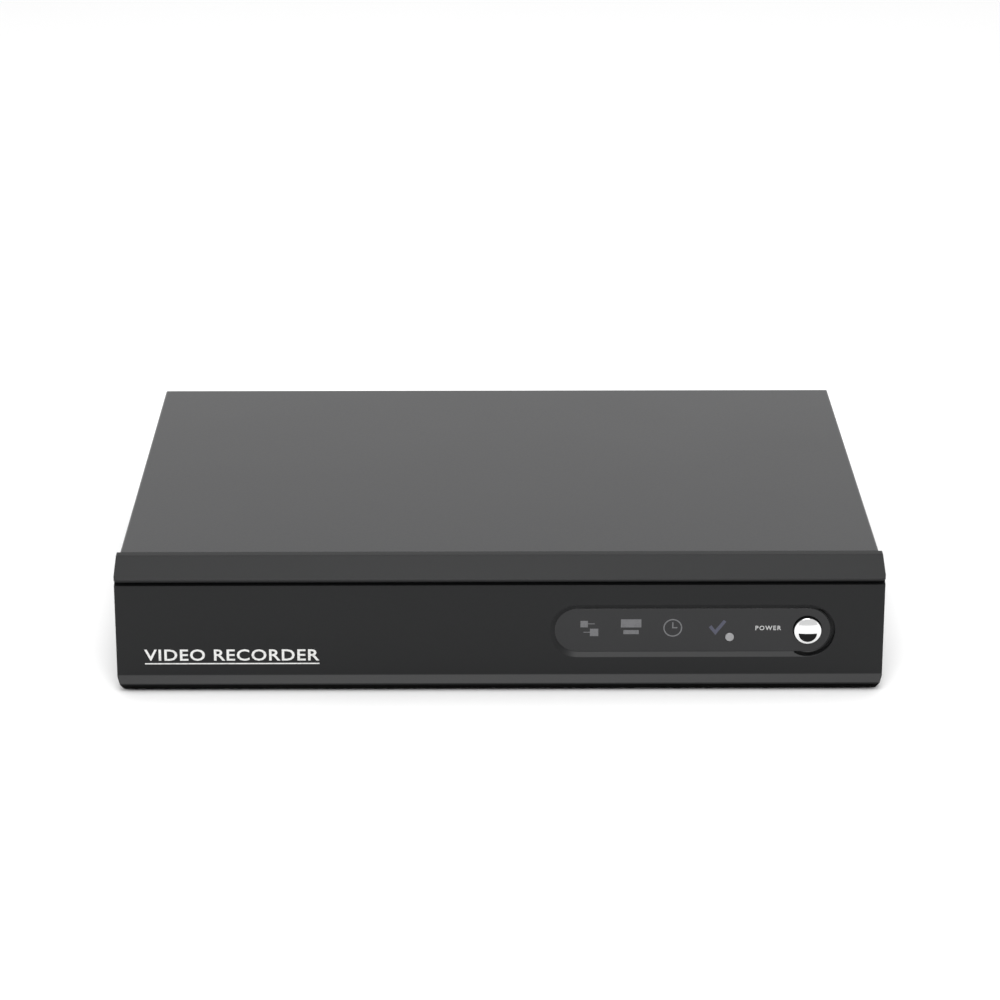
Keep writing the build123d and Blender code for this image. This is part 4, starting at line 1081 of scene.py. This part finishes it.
# ------------------------------------------------------------------ repeated parts
class Pattern(Graph):
    """A geometry-node tree with named inputs, run once into a plain mesh."""

    def __init__(self, name: str) -> None:
        """Starts a tree with one geometry output.

        Args:
            name: The tree's name.
        """
        self.tree = bpy.data.node_groups.new(name, "GeometryNodeTree")
        self.tree.interface.new_socket("Geometry", in_out="OUTPUT", socket_type="NodeSocketGeometry")
        self.entry = self.tree.nodes.new("NodeGroupInput")
        self.exit = self.tree.nodes.new("NodeGroupOutput")
        self.values: dict[str, Any] = {}

    def size(self, name: str, value: Any) -> bpy.types.NodeSocket:
        """Adds a named input and keeps the value to run it with.

        Args:
            name: The input's name.
            value: An int, a float or three floats.

        Returns:
            The socket inside the tree.
        """
        kind = "NodeSocketVector"
        if isinstance(value, int):
            kind = "NodeSocketInt"
        elif isinstance(value, float):
            kind = "NodeSocketFloat"
        made = self.tree.interface.new_socket(name, in_out="INPUT", socket_type=kind)
        self.values[made.identifier] = value
        return self.entry.outputs[name]

    def run(self, name: str, geometry: bpy.types.NodeSocket, finish: Finish, body: Body) -> bpy.types.Object:
        """Ends the tree, evaluates it and keeps the plain mesh.

        Args:
            name: The piece's name.
            geometry: The tree's last geometry.
            finish: The piece's finish.
            body: The body it rides on.

        Returns:
            The finished piece.
        """
        real = self.node("GeometryNodeRealizeInstances", {}, {"Geometry": geometry})
        paint = self.node(
            "GeometryNodeSetMaterial", {}, {"Geometry": real.outputs[0], "Material": finish.material()}
        )
        self.tree.links.new(paint.outputs[0], self.exit.inputs[0])
        host = bpy.data.objects.new(f"{name}_pattern", bpy.data.meshes.new(f"{name}_pattern"))
        bpy.context.scene.collection.objects.link(host)
        modifier = host.modifiers.new("pattern", "NODES")
        modifier.node_group = self.tree
        for identifier, value in self.values.items():
            modifier[identifier] = value
        bpy.context.view_layer.update()
        mesh = bpy.data.meshes.new_from_object(host.evaluated_get(bpy.context.evaluated_depsgraph_get()))
        host.modifiers.clear()
        bpy.data.objects.remove(host)
        return link(name, mesh, finish, body)


@dataclass
class Row:
    """A straight row of small blocks: leads, contacts or pins."""

    start: Point
    step: Point
    count: int
    size: Point

    def lay(self, pattern: Pattern, tag: str) -> bpy.types.NodeSocket:
        """Adds the row to a tree.

        Args:
            pattern: The tree.
            tag: A word for the names of this row's inputs.

        Returns:
            The row's instances.
        """
        start = pattern.size(f"{tag} Start", self.start)
        step = pattern.size(f"{tag} Step", self.step)
        count = pattern.size(f"{tag} Count", self.count)
        size = pattern.size(f"{tag} Size", self.size)
        course = {"Count": count, "Start Location": start, "Offset": step}
        line = pattern.node("GeometryNodeMeshLine", {"mode": "OFFSET"}, course)
        block = pattern.node("GeometryNodeMeshCube", {}, {"Size": size})
        placed = pattern.node(
            "GeometryNodeInstanceOnPoints", {}, {"Points": line.outputs[0], "Instance": block.outputs[0]}
        )
        return placed.outputs[0]


@dataclass
class Rows:
    """Several rows that make one piece."""

    name: str
    finish: Finish
    body: Body
    rows: list[Row] = field(default_factory=list)

    def build(self) -> bpy.types.Object:
        """Runs one tree that holds every row.

        Returns:
            The finished piece.
        """
        pattern = Pattern(self.name)
        joined = pattern.node("GeometryNodeJoinGeometry", {}, {})
        for i, row in enumerate(self.rows):
            pattern.tree.links.new(row.lay(pattern, f"Row {i + 1}"), joined.inputs[0])
        return pattern.run(self.name, joined.outputs[0], self.finish, self.body)


@dataclass
class Scatter:
    """Small surface-mounted parts on a grid, kept or dropped by a seeded draw."""

    name: str
    finish: Finish
    low: Point
    high: Point
    pitch: float
    part: Point
    kept: float
    seed: int

    def build(self) -> bpy.types.Object:
        """Runs the seeded grid.

        Returns:
            The finished piece.
        """
        pattern = Pattern(self.name)
        width, depth = self.high[0] - self.low[0], self.high[1] - self.low[1]
        across, deep = int(width / self.pitch), int(depth / self.pitch)
        grid = pattern.node(
            "GeometryNodeMeshGrid",
            {},
            {
                "Size X": pattern.size("Width", width),
                "Size Y": pattern.size("Depth", depth),
                "Vertices X": pattern.size("Across", across),
                "Vertices Y": pattern.size("Deep", deep),
            },
        )
        seed = pattern.size("Seed", self.seed)
        draw = pattern.node("FunctionNodeRandomValue", {"data_type": "FLOAT"}, {"Seed": seed})
        keep = pattern.node(
            "FunctionNodeCompare",
            {"data_type": "FLOAT", "operation": "LESS_THAN"},
            {0: draw.outputs[1], 1: pattern.size("Kept", self.kept)},
        )
        block = pattern.node("GeometryNodeMeshCube", {}, {"Size": pattern.size("Part", self.part)})
        turns = {4: 0, 5: 1, "Seed": pattern.size("Turn Seed", self.seed + 7)}
        turned = pattern.node("FunctionNodeRandomValue", {"data_type": "INT"}, turns)
        quarter = pattern.node(
            "ShaderNodeMath", {"operation": "MULTIPLY"}, {0: turned.outputs[2], 1: math.pi / 2}
        )
        about = pattern.node("ShaderNodeCombineXYZ", {}, {"Z": quarter.outputs[0]})
        placed = pattern.node(
            "GeometryNodeInstanceOnPoints",
            {},
            {
                "Points": grid.outputs[0],
                "Selection": keep.outputs[0],
                "Instance": block.outputs[0],
                "Rotation": about.outputs[0],
            },
        )
        middle = tuple((a + b) / 2 for a, b in zip(self.low, self.high))
        moved = pattern.node(
            "GeometryNodeTransform",
            {},
            {"Geometry": placed.outputs[0], "Translation": pattern.size("Middle", middle)},
        )
        return pattern.run(self.name, moved.outputs[0], self.finish, Body.CHASSIS)


# ------------------------------------------------------------------ sub-assemblies
@dataclass
class CaseShell:
    """The cover, the chassis, the bezel with its print, the feet and the screws."""

    title: str = "VIDEO RECORDER"
    title_left: float = -139.0 * MM
    title_right: float = -70.7 * MM
    title_low: float = 13.3 * MM
    rule_low: float = 11.7 * MM
    rule_high: float = 12.2 * MM
    recess: float = 2.2 * MM
    ink: float = 0.02 * MM
    rule_depth: float = 0.03 * MM

    def build(self) -> None:
        """Builds and dresses every piece of the case."""
        RefinedNode("front_bezel", FINISHES.bezel, Body.CHASSIS, 0.3 * MM).build()
        RefinedNode("top_cover", FINISHES.cover, Body.COVER, 0.12 * MM, 50.0).build()
        dress(FINISHES.chassis, "chassis_base")
        dress(FINISHES.rubber, "rubber_feet")
        dress(FINISHES.dark_screw, "cover_screws")
        dress(FINISHES.bright, "machine_screws")
        self.print_title()

    def print_title(self) -> None:
        """Prints the plain words and the rule under them on the front."""
        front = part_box("front_bezel")[0].y + self.recess - self.ink
        place = (self.title_left, front, self.title_low)
        words = Lettering(
            self.title, 6.6 * MM, place, FINISHES.print_white, spread=1.08, heavy=0.09 * MM
        ).mesh()
        reach = max(v.co.x for v in words.vertices) - self.title_left
        fit = (self.title_right - self.title_left) / reach
        for vertex in words.vertices:
            vertex.co.x = self.title_left + (vertex.co.x - self.title_left) * fit
        link("front_title", words, FINISHES.print_white, Body.CHASSIS)
        shape = bmesh.new()
        corners = [
            (self.title_left, front, self.rule_low),
            (self.title_right, front, self.rule_low),
            (self.title_right, front, self.rule_high),
            (self.title_left, front, self.rule_high),
        ]
        prism(shape, corners, (0.0, self.rule_depth, 0.0))
        from_bmesh("front_title_rule", shape, FINISHES.print_white, Body.CHASSIS)


@dataclass
class FrontWindow:
    """The smoked window with its printed symbols, the receiver pip and the power button."""

    ink: float = 0.03 * MM
    symbol_z: float = 26.1 * MM
    network_x: float = 34.9 * MM
    drive_x: float = 51.3 * MM
    clock_x: float = 67.6 * MM
    check_x: float = 84.9 * MM
    label_x: float = 99.8 * MM
    label_z: float = 25.1 * MM
    button_radius: float = 5.35 * MM
    button_rise: float = 0.9 * MM
    moon_radius: float = 3.6 * MM
    moon_drop: float = 0.75 * MM
    face: float = field(init=False, default=0.0)

    def build(self) -> None:
        """Builds and dresses every piece of the window."""
        dress(FINISHES.lens, "display_lens")
        dress(FINISHES.receiver, "receiver_window")
        dress(FINISHES.clear, "light_guide")
        self.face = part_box("display_lens")[0].y
        self.symbols()
        self.label()
        self.button()

    def _flat(self, points: Iterable[Flat]) -> list[Point]:
        """Stands flat points on the window's face."""
        return [(x, self.face - self.ink, z) for x, z in points]

    def _bar(self, shape: bmesh.types.BMesh, x: Flat, z: Flat) -> None:
        """Adds a printed rectangle given in millimetres about the window's row.

        Args:
            shape: The bmesh to add to.
            x: Its left and right.
            z: Its low and high edges from the row's height.
        """
        x0, x1 = x[0] * MM, x[1] * MM
        z0, z1 = self.symbol_z + z[0] * MM, self.symbol_z + z[1] * MM
        prism(shape, self._flat([(x0, z0), (x1, z0), (x1, z1), (x0, z1)]), (0.0, self.ink, 0.0))

    def _ring(self, shape: bmesh.types.BMesh, centre: Flat, outer: float, inner: float) -> None:
        """Adds a printed ring about a centre in metres."""
        push = (0.0, self.ink, 0.0)
        band(shape, self._flat(circle(centre, outer)), self._flat(circle(centre, inner)), push)

    def symbols(self) -> None:
        """Prints the four faint symbols: links, drive, clock and tick."""
        shape = bmesh.new()
        x = self.network_x / MM
        self._bar(shape, (x - 3.4, x - 0.5), (0.3, 3.0))
        self._bar(shape, (x + 0.3, x + 3.6), (-3.4, -0.3))
        self._bar(shape, (x - 0.5, x + 2.2), (1.6, 1.9))
        self._bar(shape, (x - 2.2, x + 0.3), (-1.9, -1.6))
        x = self.drive_x / MM
        self._bar(shape, (x - 4.0, x + 4.0), (0.2, 3.6))
        self._bar(shape, (x - 3.0, x + 3.0), (-2.6, -0.9))
        centre = (self.clock_x, self.symbol_z)
        self._ring(shape, centre, 3.7 * MM, 3.2 * MM)
        x = self.clock_x / MM
        self._bar(shape, (x - 0.25, x + 0.25), (-0.2, 2.3))
        self._bar(shape, (x + 0.25, x + 1.8), (-0.2, 0.3))
        from_bmesh("window_symbols", shape, FINISHES.print_faint, Body.CHASSIS)
        tick = bmesh.new()
        x, z = self.check_x, self.symbol_z
        corners = [(-3.2, 0.2), (-2.2, 1.1), (-0.7, -0.9), (2.6, 3.3), (3.6, 2.5), (-0.6, -3.0)]
        outline = [(x + a * MM, z + b * MM) for a, b in corners]
        prism(tick, self._flat(outline), (0.0, self.ink, 0.0))
        from_bmesh("window_tick", tick, FINISHES.print_blue, Body.CHASSIS)

    def label(self) -> None:
        """Prints the small word beside the button."""
        place = (self.label_x, self.face - self.ink / 2, self.label_z)
        words = Lettering("POWER", 2.55 * MM, place, FINISHES.print_label, spread=1.25, heavy=0.05 * MM)
        link("window_label", words.mesh(), FINISHES.print_label, Body.CHASSIS)

    def button(self) -> None:
        """Turns the chromed cap finely, with a rolled rim, and the black skirt it is pressed on."""
        low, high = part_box("power_button")
        centre = ((low.x + high.x) / 2, low.y, (low.z + high.z) / 2)
        rim, roll, flange = self.button_radius - 0.35 * MM, 0.35 * MM, high.y - low.y
        ball = (rim**2 + self.button_rise**2) / (2 * self.button_rise)
        profile = [(rim * i / 14, ball - math.sqrt(ball**2 - (rim * i / 14) ** 2)) for i in range(15)]
        for i in range(1, 7):
            turn = math.pi / 2 * i / 6
            profile.append((rim + roll * math.sin(turn), self.button_rise + roll * (1.0 - math.cos(turn))))
        seat, shoulder, reach = 1.5 * MM, flange - 1.0 * MM, high.x - centre[0]
        profile += [(self.button_radius, seat), (0.0, seat)]
        cap = lathe("power_button_cap", profile, centre, FINISHES.button, Body.BUTTON, 96)
        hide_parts("power_button")
        skirt = [(0.0, seat), (self.button_radius, seat), (self.button_radius, shoulder), (reach, shoulder)]
        skirt += [(reach, flange), (0.0, flange)]
        lathe("power_button_skirt", skirt, centre, FINISHES.black, Body.BUTTON, 96)
        # The dome's dark lower half is a painted reflection, laid on as a thin sheet.
        self.lay_painted_reflection(Vector(centre), ball)

    def lay_painted_reflection(self, centre: Vector, ball: float) -> None:
        """Lays a dark half disc on the button's dome: a painted reflection of the black recess below it.

        Args:
            centre: The dome's foremost point.
            ball: The dome's radius.
        """
        shape = bmesh.new()
        rows, columns = 9, 16
        sheets = []
        for lift in (0.03 * MM, -0.1 * MM):
            sheet = []
            for i in range(rows + 1):
                turn = math.pi / 2 * i / rows * 0.985
                fall, half = self.moon_radius * math.sin(turn), self.moon_radius * math.cos(turn)
                line = []
                for k in range(columns + 1):
                    x, z = half * (2.0 * k / columns - 1.0), -self.moon_drop - fall
                    depth = ball - math.sqrt(ball**2 - x**2 - z**2)
                    line.append(shape.verts.new(centre + Vector((x, depth - lift, z))))
                sheet.append(line)
            sheets.append(sheet)
        edges = []
        for sheet in sheets:
            for a, b in zip(sheet, sheet[1:]):
                for k in range(columns):
                    shape.faces.new((a[k], a[k + 1], b[k + 1], b[k]))
            right, left = [row[-1] for row in sheet[1:]], [row[0] for row in sheet[-2:0:-1]]
            edges.append(sheet[0] + right + sheet[-1][-2::-1] + left)
        near, far = edges
        for i in range(len(near)):
            j = (i + 1) % len(near)
            shape.faces.new((near[i], near[j], far[j], far[i]))
        from_bmesh("power_button_painted_reflection", shape, FINISHES.painted_reflection, Body.BUTTON, smooth=True)


@dataclass
class FrontElectronics:
    """What stands behind the window: switch, lamps, receiver and their board."""

    dome_pressed: float = 0.27

    def build(self) -> None:
        """Dresses the small parts on the front-panel board."""
        dress(FINISHES.black, "switch_body")
        self.snap_dome()
        dress(FINISHES.white, "switch_plunger")
        dress(FINISHES.board, "front_panel_board")
        dress(FINISHES.clear, "indicator_lamps")
        dress(FINISHES.infrared, "infrared_receiver")
        low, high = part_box("front_panel_board")
        parts = Row((low.x + 9 * MM, high.y + 0.3 * MM, low.z + 5.5 * MM), (7.1 * MM, 0.0, 0.0), 12,
                    (2.0 * MM, 0.6 * MM, 1.2 * MM))
        Rows("panel_board_resistors", FINISHES.chip, Body.CHASSIS, [parts]).build()

    def snap_dome(self) -> None:
        """Replaces the snap dome with a merged, smooth-shaded copy that has a mesh of its own."""
        shape = merged_copy("switch_dome")
        dome = from_bmesh("switch_snap_dome", shape, FINISHES.bright, Body.CHASSIS, smooth=True)
        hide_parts("switch_dome")
        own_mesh(dome)


@dataclass
class RearSockets:
    """The jacks, ports, terminal and inlet at the back, with their contacts and print."""

    frame_ink: float = 0.02 * MM
    line: float = 0.35 * MM
    corner: float = 1.6 * MM

    def build(self) -> None:
        """Dresses the sockets and adds the parts that repeat in them."""
        dress(
            FINISHES.black,
            "video_jack_housings",
            "audio_jack_housing",
            "network_port_insert",
            "power_inlet_body",
        )
        dress(
            FINISHES.bright,
            "video_jack_shells",
            "monitor_port_nuts",
            "terminal_screws",
            "power_inlet_pin",
        )
        dress(FINISHES.white, "video_jack_insulators", "bus_port_tongues")
        dress(FINISHES.gold, "video_jack_contacts")
        dress(
            FINISHES.tin,
            "audio_jack_shells",
            "monitor_port_shell",
            "network_port_shell",
            "bus_port_shell",
        )
        dress(FINISHES.red, "audio_jack_inserts")
        dress(FINISHES.blue, "monitor_port_insert")
        dress(FINISHES.green, "control_terminal")
        self.contacts()
        self.print_frames()
        self.print_numbers()

    def contacts(self) -> None:
        """Lays the gold contacts of the network and peripheral sockets."""
        low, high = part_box("network_port_insert")
        middle = (low.x + high.x) / 2
        network = Row(
            (middle - 3.5 * 1.02 * MM, high.y - 8.0 * MM, low.z + 2.3 * MM),
            (1.02 * MM, 0.0, 0.0),
            8,
            (0.4 * MM, 7.0 * MM, 0.35 * MM),
        )
        rows = [network]
        low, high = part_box("bus_port_tongues")
        middle = (low.x + high.x) / 2
        for z in (low.z, high.z - 1.8 * MM):
            start = (middle - 3.75 * MM, high.y - 4.5 * MM, z - 0.05 * MM)
            rows.append(Row(start, (2.5 * MM, 0.0, 0.0), 4, (1.2 * MM, 7.0 * MM, 0.2 * MM)))
        Rows("socket_contacts", FINISHES.gold, Body.CHASSIS, rows).build()

    def _outline(self, shape: bmesh.types.BMesh, x: Flat, z: Flat, y: float) -> None:
        """Adds a printed rectangular frame with rounded corners.

        Args:
            shape: The bmesh to add to.
            x: Its left and right in metres.
            z: Its low and high edges in metres.
            y: The panel's outer face.
        """
        rings = []
        for inset in (0.0, self.line):
            corners = []
            for cx, cz, start in ((x[1], z[1], 0.0), (x[0], z[1], 0.5), (x[0], z[0], 1.0), (x[1], z[0], 1.5)):
                radius = self.corner - inset
                middle_x = cx + (-self.corner if cx == x[1] else self.corner)
                middle_z = cz + (-self.corner if cz == z[1] else self.corner)
                for i in range(5):
                    turn = math.pi * (start + i / 8.0)
                    reach, rise = radius * math.cos(turn), radius * math.sin(turn)
                    corners.append((middle_x + reach, y + self.frame_ink, middle_z + rise))
            rings.append(corners)
        band(shape, rings[0], rings[1], (0.0, -self.frame_ink * 2, 0.0))

    def print_frames(self) -> None:
        """Prints thin frames round the groups of jacks."""
        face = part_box("chassis_base")[1].y
        jacks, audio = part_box("video_jack_shells"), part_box("audio_jack_housing")
        shape = bmesh.new()
        for left, right, top in (
            (jacks[0].x - 5.7 * MM, jacks[0].x + 31.9 * MM, 43.7 * MM),
            (jacks[0].x + 33.6 * MM, jacks[1].x + 2.6 * MM, 43.7 * MM),
            (audio[0].x - 1.3 * MM, audio[1].x - 0.6 * MM, 40.2 * MM),
        ):
            self._outline(shape, (left, right), (12.6 * MM, top), face)
        from_bmesh("rear_print_frames", shape, FINISHES.print_white, Body.CHASSIS)

    def print_numbers(self) -> None:
        """Prints the input numbers beside the video and audio jacks."""
        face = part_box("chassis_base")[1].y
        jacks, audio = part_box("video_jack_shells"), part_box("audio_jack_shells")
        merged = bmesh.new()
        for first, step, beside, rows in (
            (jacks[0].x + 5.5 * MM, 19.0 * MM, 8.1 * MM, (20.5 * MM, 37.0 * MM)),
            (audio[0].x + 4.15 * MM, 14.0 * MM, 5.5 * MM, (19.0 * MM, 33.0 * MM)),
        ):
            for i in range(4):
                corner = (first + step * (i // 2) - beside, face + 0.005 * MM, rows[i % 2] - 1.1 * MM)
                mark = Lettering(str(i + 1), 3.1 * MM, corner, FINISHES.print_white, backward=True)
                merged.from_mesh(mark.mesh())
        from_bmesh("rear_print_numbers", merged, FINISHES.print_white, Body.CHASSIS)


@dataclass
class CircuitBoards:
    """The main board with its chips, cans, coils and small parts."""

    lead: float = 0.35 * MM

    def build(self) -> None:
        """Dresses the board and adds leads and small parts."""
        dress(FINISHES.board, "main_board")
        dress(FINISHES.gold, "board_standoffs")
        dress(FINISHES.chip, "processor", "memory_chips", "video_chips", "power_coils")
        dress(FINISHES.anodised, "heat_sink")
        dress(FINISHES.can, "capacitors")
        dress(FINISHES.bright, "coin_cell")
        dress(FINISHES.black, "coin_cell_holder", "alarm_buzzer")
        dress(FINISHES.white, "board_headers")
        self.leads()
        self.small_parts()

    def leads(self) -> None:
        """Lays rows of leads along two sides of every chip on the board."""
        rows = []
        for node in ("memory_chips", "video_chips"):
            for low, high in islands(node):
                width = high.x - low.x
                count = int(width / (0.8 * MM)) - 1
                first = (low.x + high.x) / 2 - (count - 1) * 0.4 * MM
                for y in (low.y - 0.35 * MM, high.y + 0.35 * MM):
                    start = (first, y, low.z + 0.15 * MM)
                    rows.append(Row(start, (0.8 * MM, 0.0, 0.0), count, (self.lead, 0.8 * MM, 0.3 * MM)))
        Rows("chip_leads", FINISHES.tin, Body.CHASSIS, rows).build()

    def small_parts(self) -> None:
        """Scatters resistors and ceramic capacitors over the free board."""
        low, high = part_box("main_board")
        z = high.z + 0.3 * MM
        for name, finish, part, kept, seed, shift in (
            ("board_resistors", FINISHES.chip, (1.6 * MM, 0.8 * MM, 0.6 * MM), 0.22, 11, 1.3 * MM),
            ("board_ceramics", FINISHES.white, (1.2 * MM, 0.7 * MM, 0.7 * MM), 0.16, 29, 2.9 * MM),
        ):
            near = (low.x + 8 * MM + shift, low.y + 12 * MM + shift, z)
            far = (high.x - 8 * MM + shift, high.y - 26 * MM + shift, z)
            Scatter(name, finish, near, far, 3.2 * MM, part, kept, seed).build()


def islands(node: str) -> list[tuple[Vector, Vector]]:
    """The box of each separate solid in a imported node.

    Args:
        node: The node's name.

    Returns:
        The lowest and highest corner of each solid, left to right.
    """
    shape = merged_copy(node)
    left = set(shape.verts)
    boxes = []
    while left:
        stack, found = [left.pop()], []
        while stack:
            vertex = stack.pop()
            found.append(vertex.co.copy())
            for edge in vertex.link_edges:
                other = edge.other_vert(vertex)
                if other in left:
                    left.remove(other)
                    stack.append(other)
        low = Vector(tuple(min(co[i] for co in found) for i in range(3)))
        high = Vector(tuple(max(co[i] for co in found) for i in range(3)))
        boxes.append((low, high))
    shape.free()
    return sorted(boxes, key=lambda pair: (pair[0].x, pair[0].y))


@dataclass
class CoolingFan:
    """The fan with its rotor, its plain hub sticker, its screws and its wires."""

    def build(self) -> None:
        """Dresses the fan and lays the sticker on its hub."""
        dress(FINISHES.black, "fan_frame", "fan_rotor")
        dress(FINISHES.dark_screw, "fan_screws")
        dress(FINISHES.red_jacket, "fan_lead")
        low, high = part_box("fan_rotor")
        x, z = (low.x + high.x) / 2, (low.z + high.z) / 2
        front, back, face, rim = -0.08 * MM, 0.05 * MM, 7.0 * MM, 7.2 * MM
        profile = [(0.0, front), (face, front), (rim, 0.0), (rim, back), (0.0, back)]
        lathe("fan_hub_sticker", profile, (x, low.y, z), FINISHES.label, Body.FAN, 48)


@dataclass
class DiscDrive:
    """The hard drive: casting, lid with its ruled label, disc, arm and board."""

    def build(self) -> None:
        """Dresses the drive and lays the label on its lid."""
        dress(FINISHES.cast, "drive_casting", "drive_arm")
        dress(FINISHES.steel_lid, "drive_cover")
        dress(FINISHES.disc, "drive_platters")
        dress(FINISHES.drive_board, "drive_board")
        dress(FINISHES.bright, "drive_screws")
        low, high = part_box("drive_cover")
        left, right = low.x + 12 * MM, low.x + 50 * MM
        near, far = low.y + 14 * MM, high.y - 12 * MM
        top = low.z + 0.58 * MM
        shape = bmesh.new()
        corners = [(left, near, top), (right, near, top), (right, far, top), (left, far, top)]
        prism(shape, corners, (0.0, 0.0, 0.1 * MM))
        from_bmesh("drive_label", shape, FINISHES.label, Body.CHASSIS)


@dataclass
class InnerLeads:
    """The leads between the boards, the drive and the fan."""

    def build(self) -> None:
        """Dresses the leads and their plugs."""
        dress(FINISHES.ribbon, "panel_ribbon_cable")
        dress(FINISHES.white, "cable_plugs")
        dress(FINISHES.red_jacket, "drive_data_cable")
        dress(FINISHES.dark_jacket, "drive_power_cable")


# ------------------------------------------------------------------ studio
@dataclass
class Studio:
    """The pale floor, the soft light and the camera."""

    camera_place: Point = (-0.0075, -1.3534, 0.5119)
    pitch: float = 19.3
    yaw: float = 0.35
    lens: float = 122.2
    sky: float = 0.8
    reach: float = 8.0

    def build(self) -> None:
        """Sets up the floor, the light and the camera."""
        self.floor()
        self.light()
        self.camera()
        bpy.context.scene.view_settings.view_transform = "Standard"

    def floor(self) -> None:
        """Lays the floor under the recorder."""
        shape = bmesh.new()
        for x, y in ((-1, -1), (1, -1), (1, 1), (-1, 1)):
            shape.verts.new((x * self.reach, y * self.reach, 0.0))
        shape.faces.new(shape.verts)
        mesh = bpy.data.meshes.new("studio_floor")
        shape.to_mesh(mesh)
        shape.free()
        mesh.materials.append(FINISHES.floor.material())
        ground = bpy.data.objects.new("studio_floor", mesh)
        bpy.context.scene.collection.objects.link(ground)

    def light(self) -> None:
        """Makes the white surroundings and two large soft lamps."""
        world = bpy.data.worlds.new("studio_sky")
        world.use_nodes = True
        background = world.node_tree.nodes["Background"]
        background.inputs[0].default_value = (1.0, 1.0, 1.0, 1.0)
        background.inputs[1].default_value = self.sky
        bpy.context.scene.world = world
        for name, place, aim, size, power in (
            ("front_box", (0.0, -1.5, 1.55), (0.0, -0.1, 0.0), 1.3, 34.0),
            ("top_box", (0.0, 0.6, 2.4), (0.0, 0.0, 0.0), 1.6, 16.0),
        ):
            lamp = bpy.data.lights.new(name, "AREA")
            lamp.shape = "DISK"
            lamp.size = size
            lamp.energy = power
            holder = bpy.data.objects.new(name, lamp)
            holder.location = place
            holder.rotation_mode = "QUATERNION"
            holder.rotation_quaternion = (Vector(aim) - Vector(place)).to_track_quat("-Z", "Y")
            bpy.context.scene.collection.objects.link(holder)

    def camera(self) -> None:
        """Stands the camera where the product is seen from the front and a little above."""
        lens = bpy.data.cameras.new("main_camera")
        lens.lens = self.lens
        lens.sensor_width = 36.0
        lens.clip_start, lens.clip_end = 0.05, 60.0
        holder = bpy.data.objects.new("main_camera", lens)
        holder.location = self.camera_place
        holder.rotation_euler = (math.radians(90.0 - self.pitch), 0.0, math.radians(-self.yaw))
        bpy.context.scene.collection.objects.link(holder)
        bpy.context.scene.camera = holder


def main() -> None:
    """Builds every sub-assembly in order."""
    logging.basicConfig(level=logging.INFO, format="%(name)s: %(message)s")
    assemblies: list[Any] = [
        CaseShell(),
        FrontWindow(),
        FrontElectronics(),
        RearSockets(),
        CircuitBoards(),
        CoolingFan(),
        DiscDrive(),
        InnerLeads(),
        Studio(),
    ]
    for assembly in assemblies:
        assembly.build()
        LOG.info("%s is ready", type(assembly).__name__)
    bpy.context.view_layer.update()


if __name__ == "__main__":
    main()
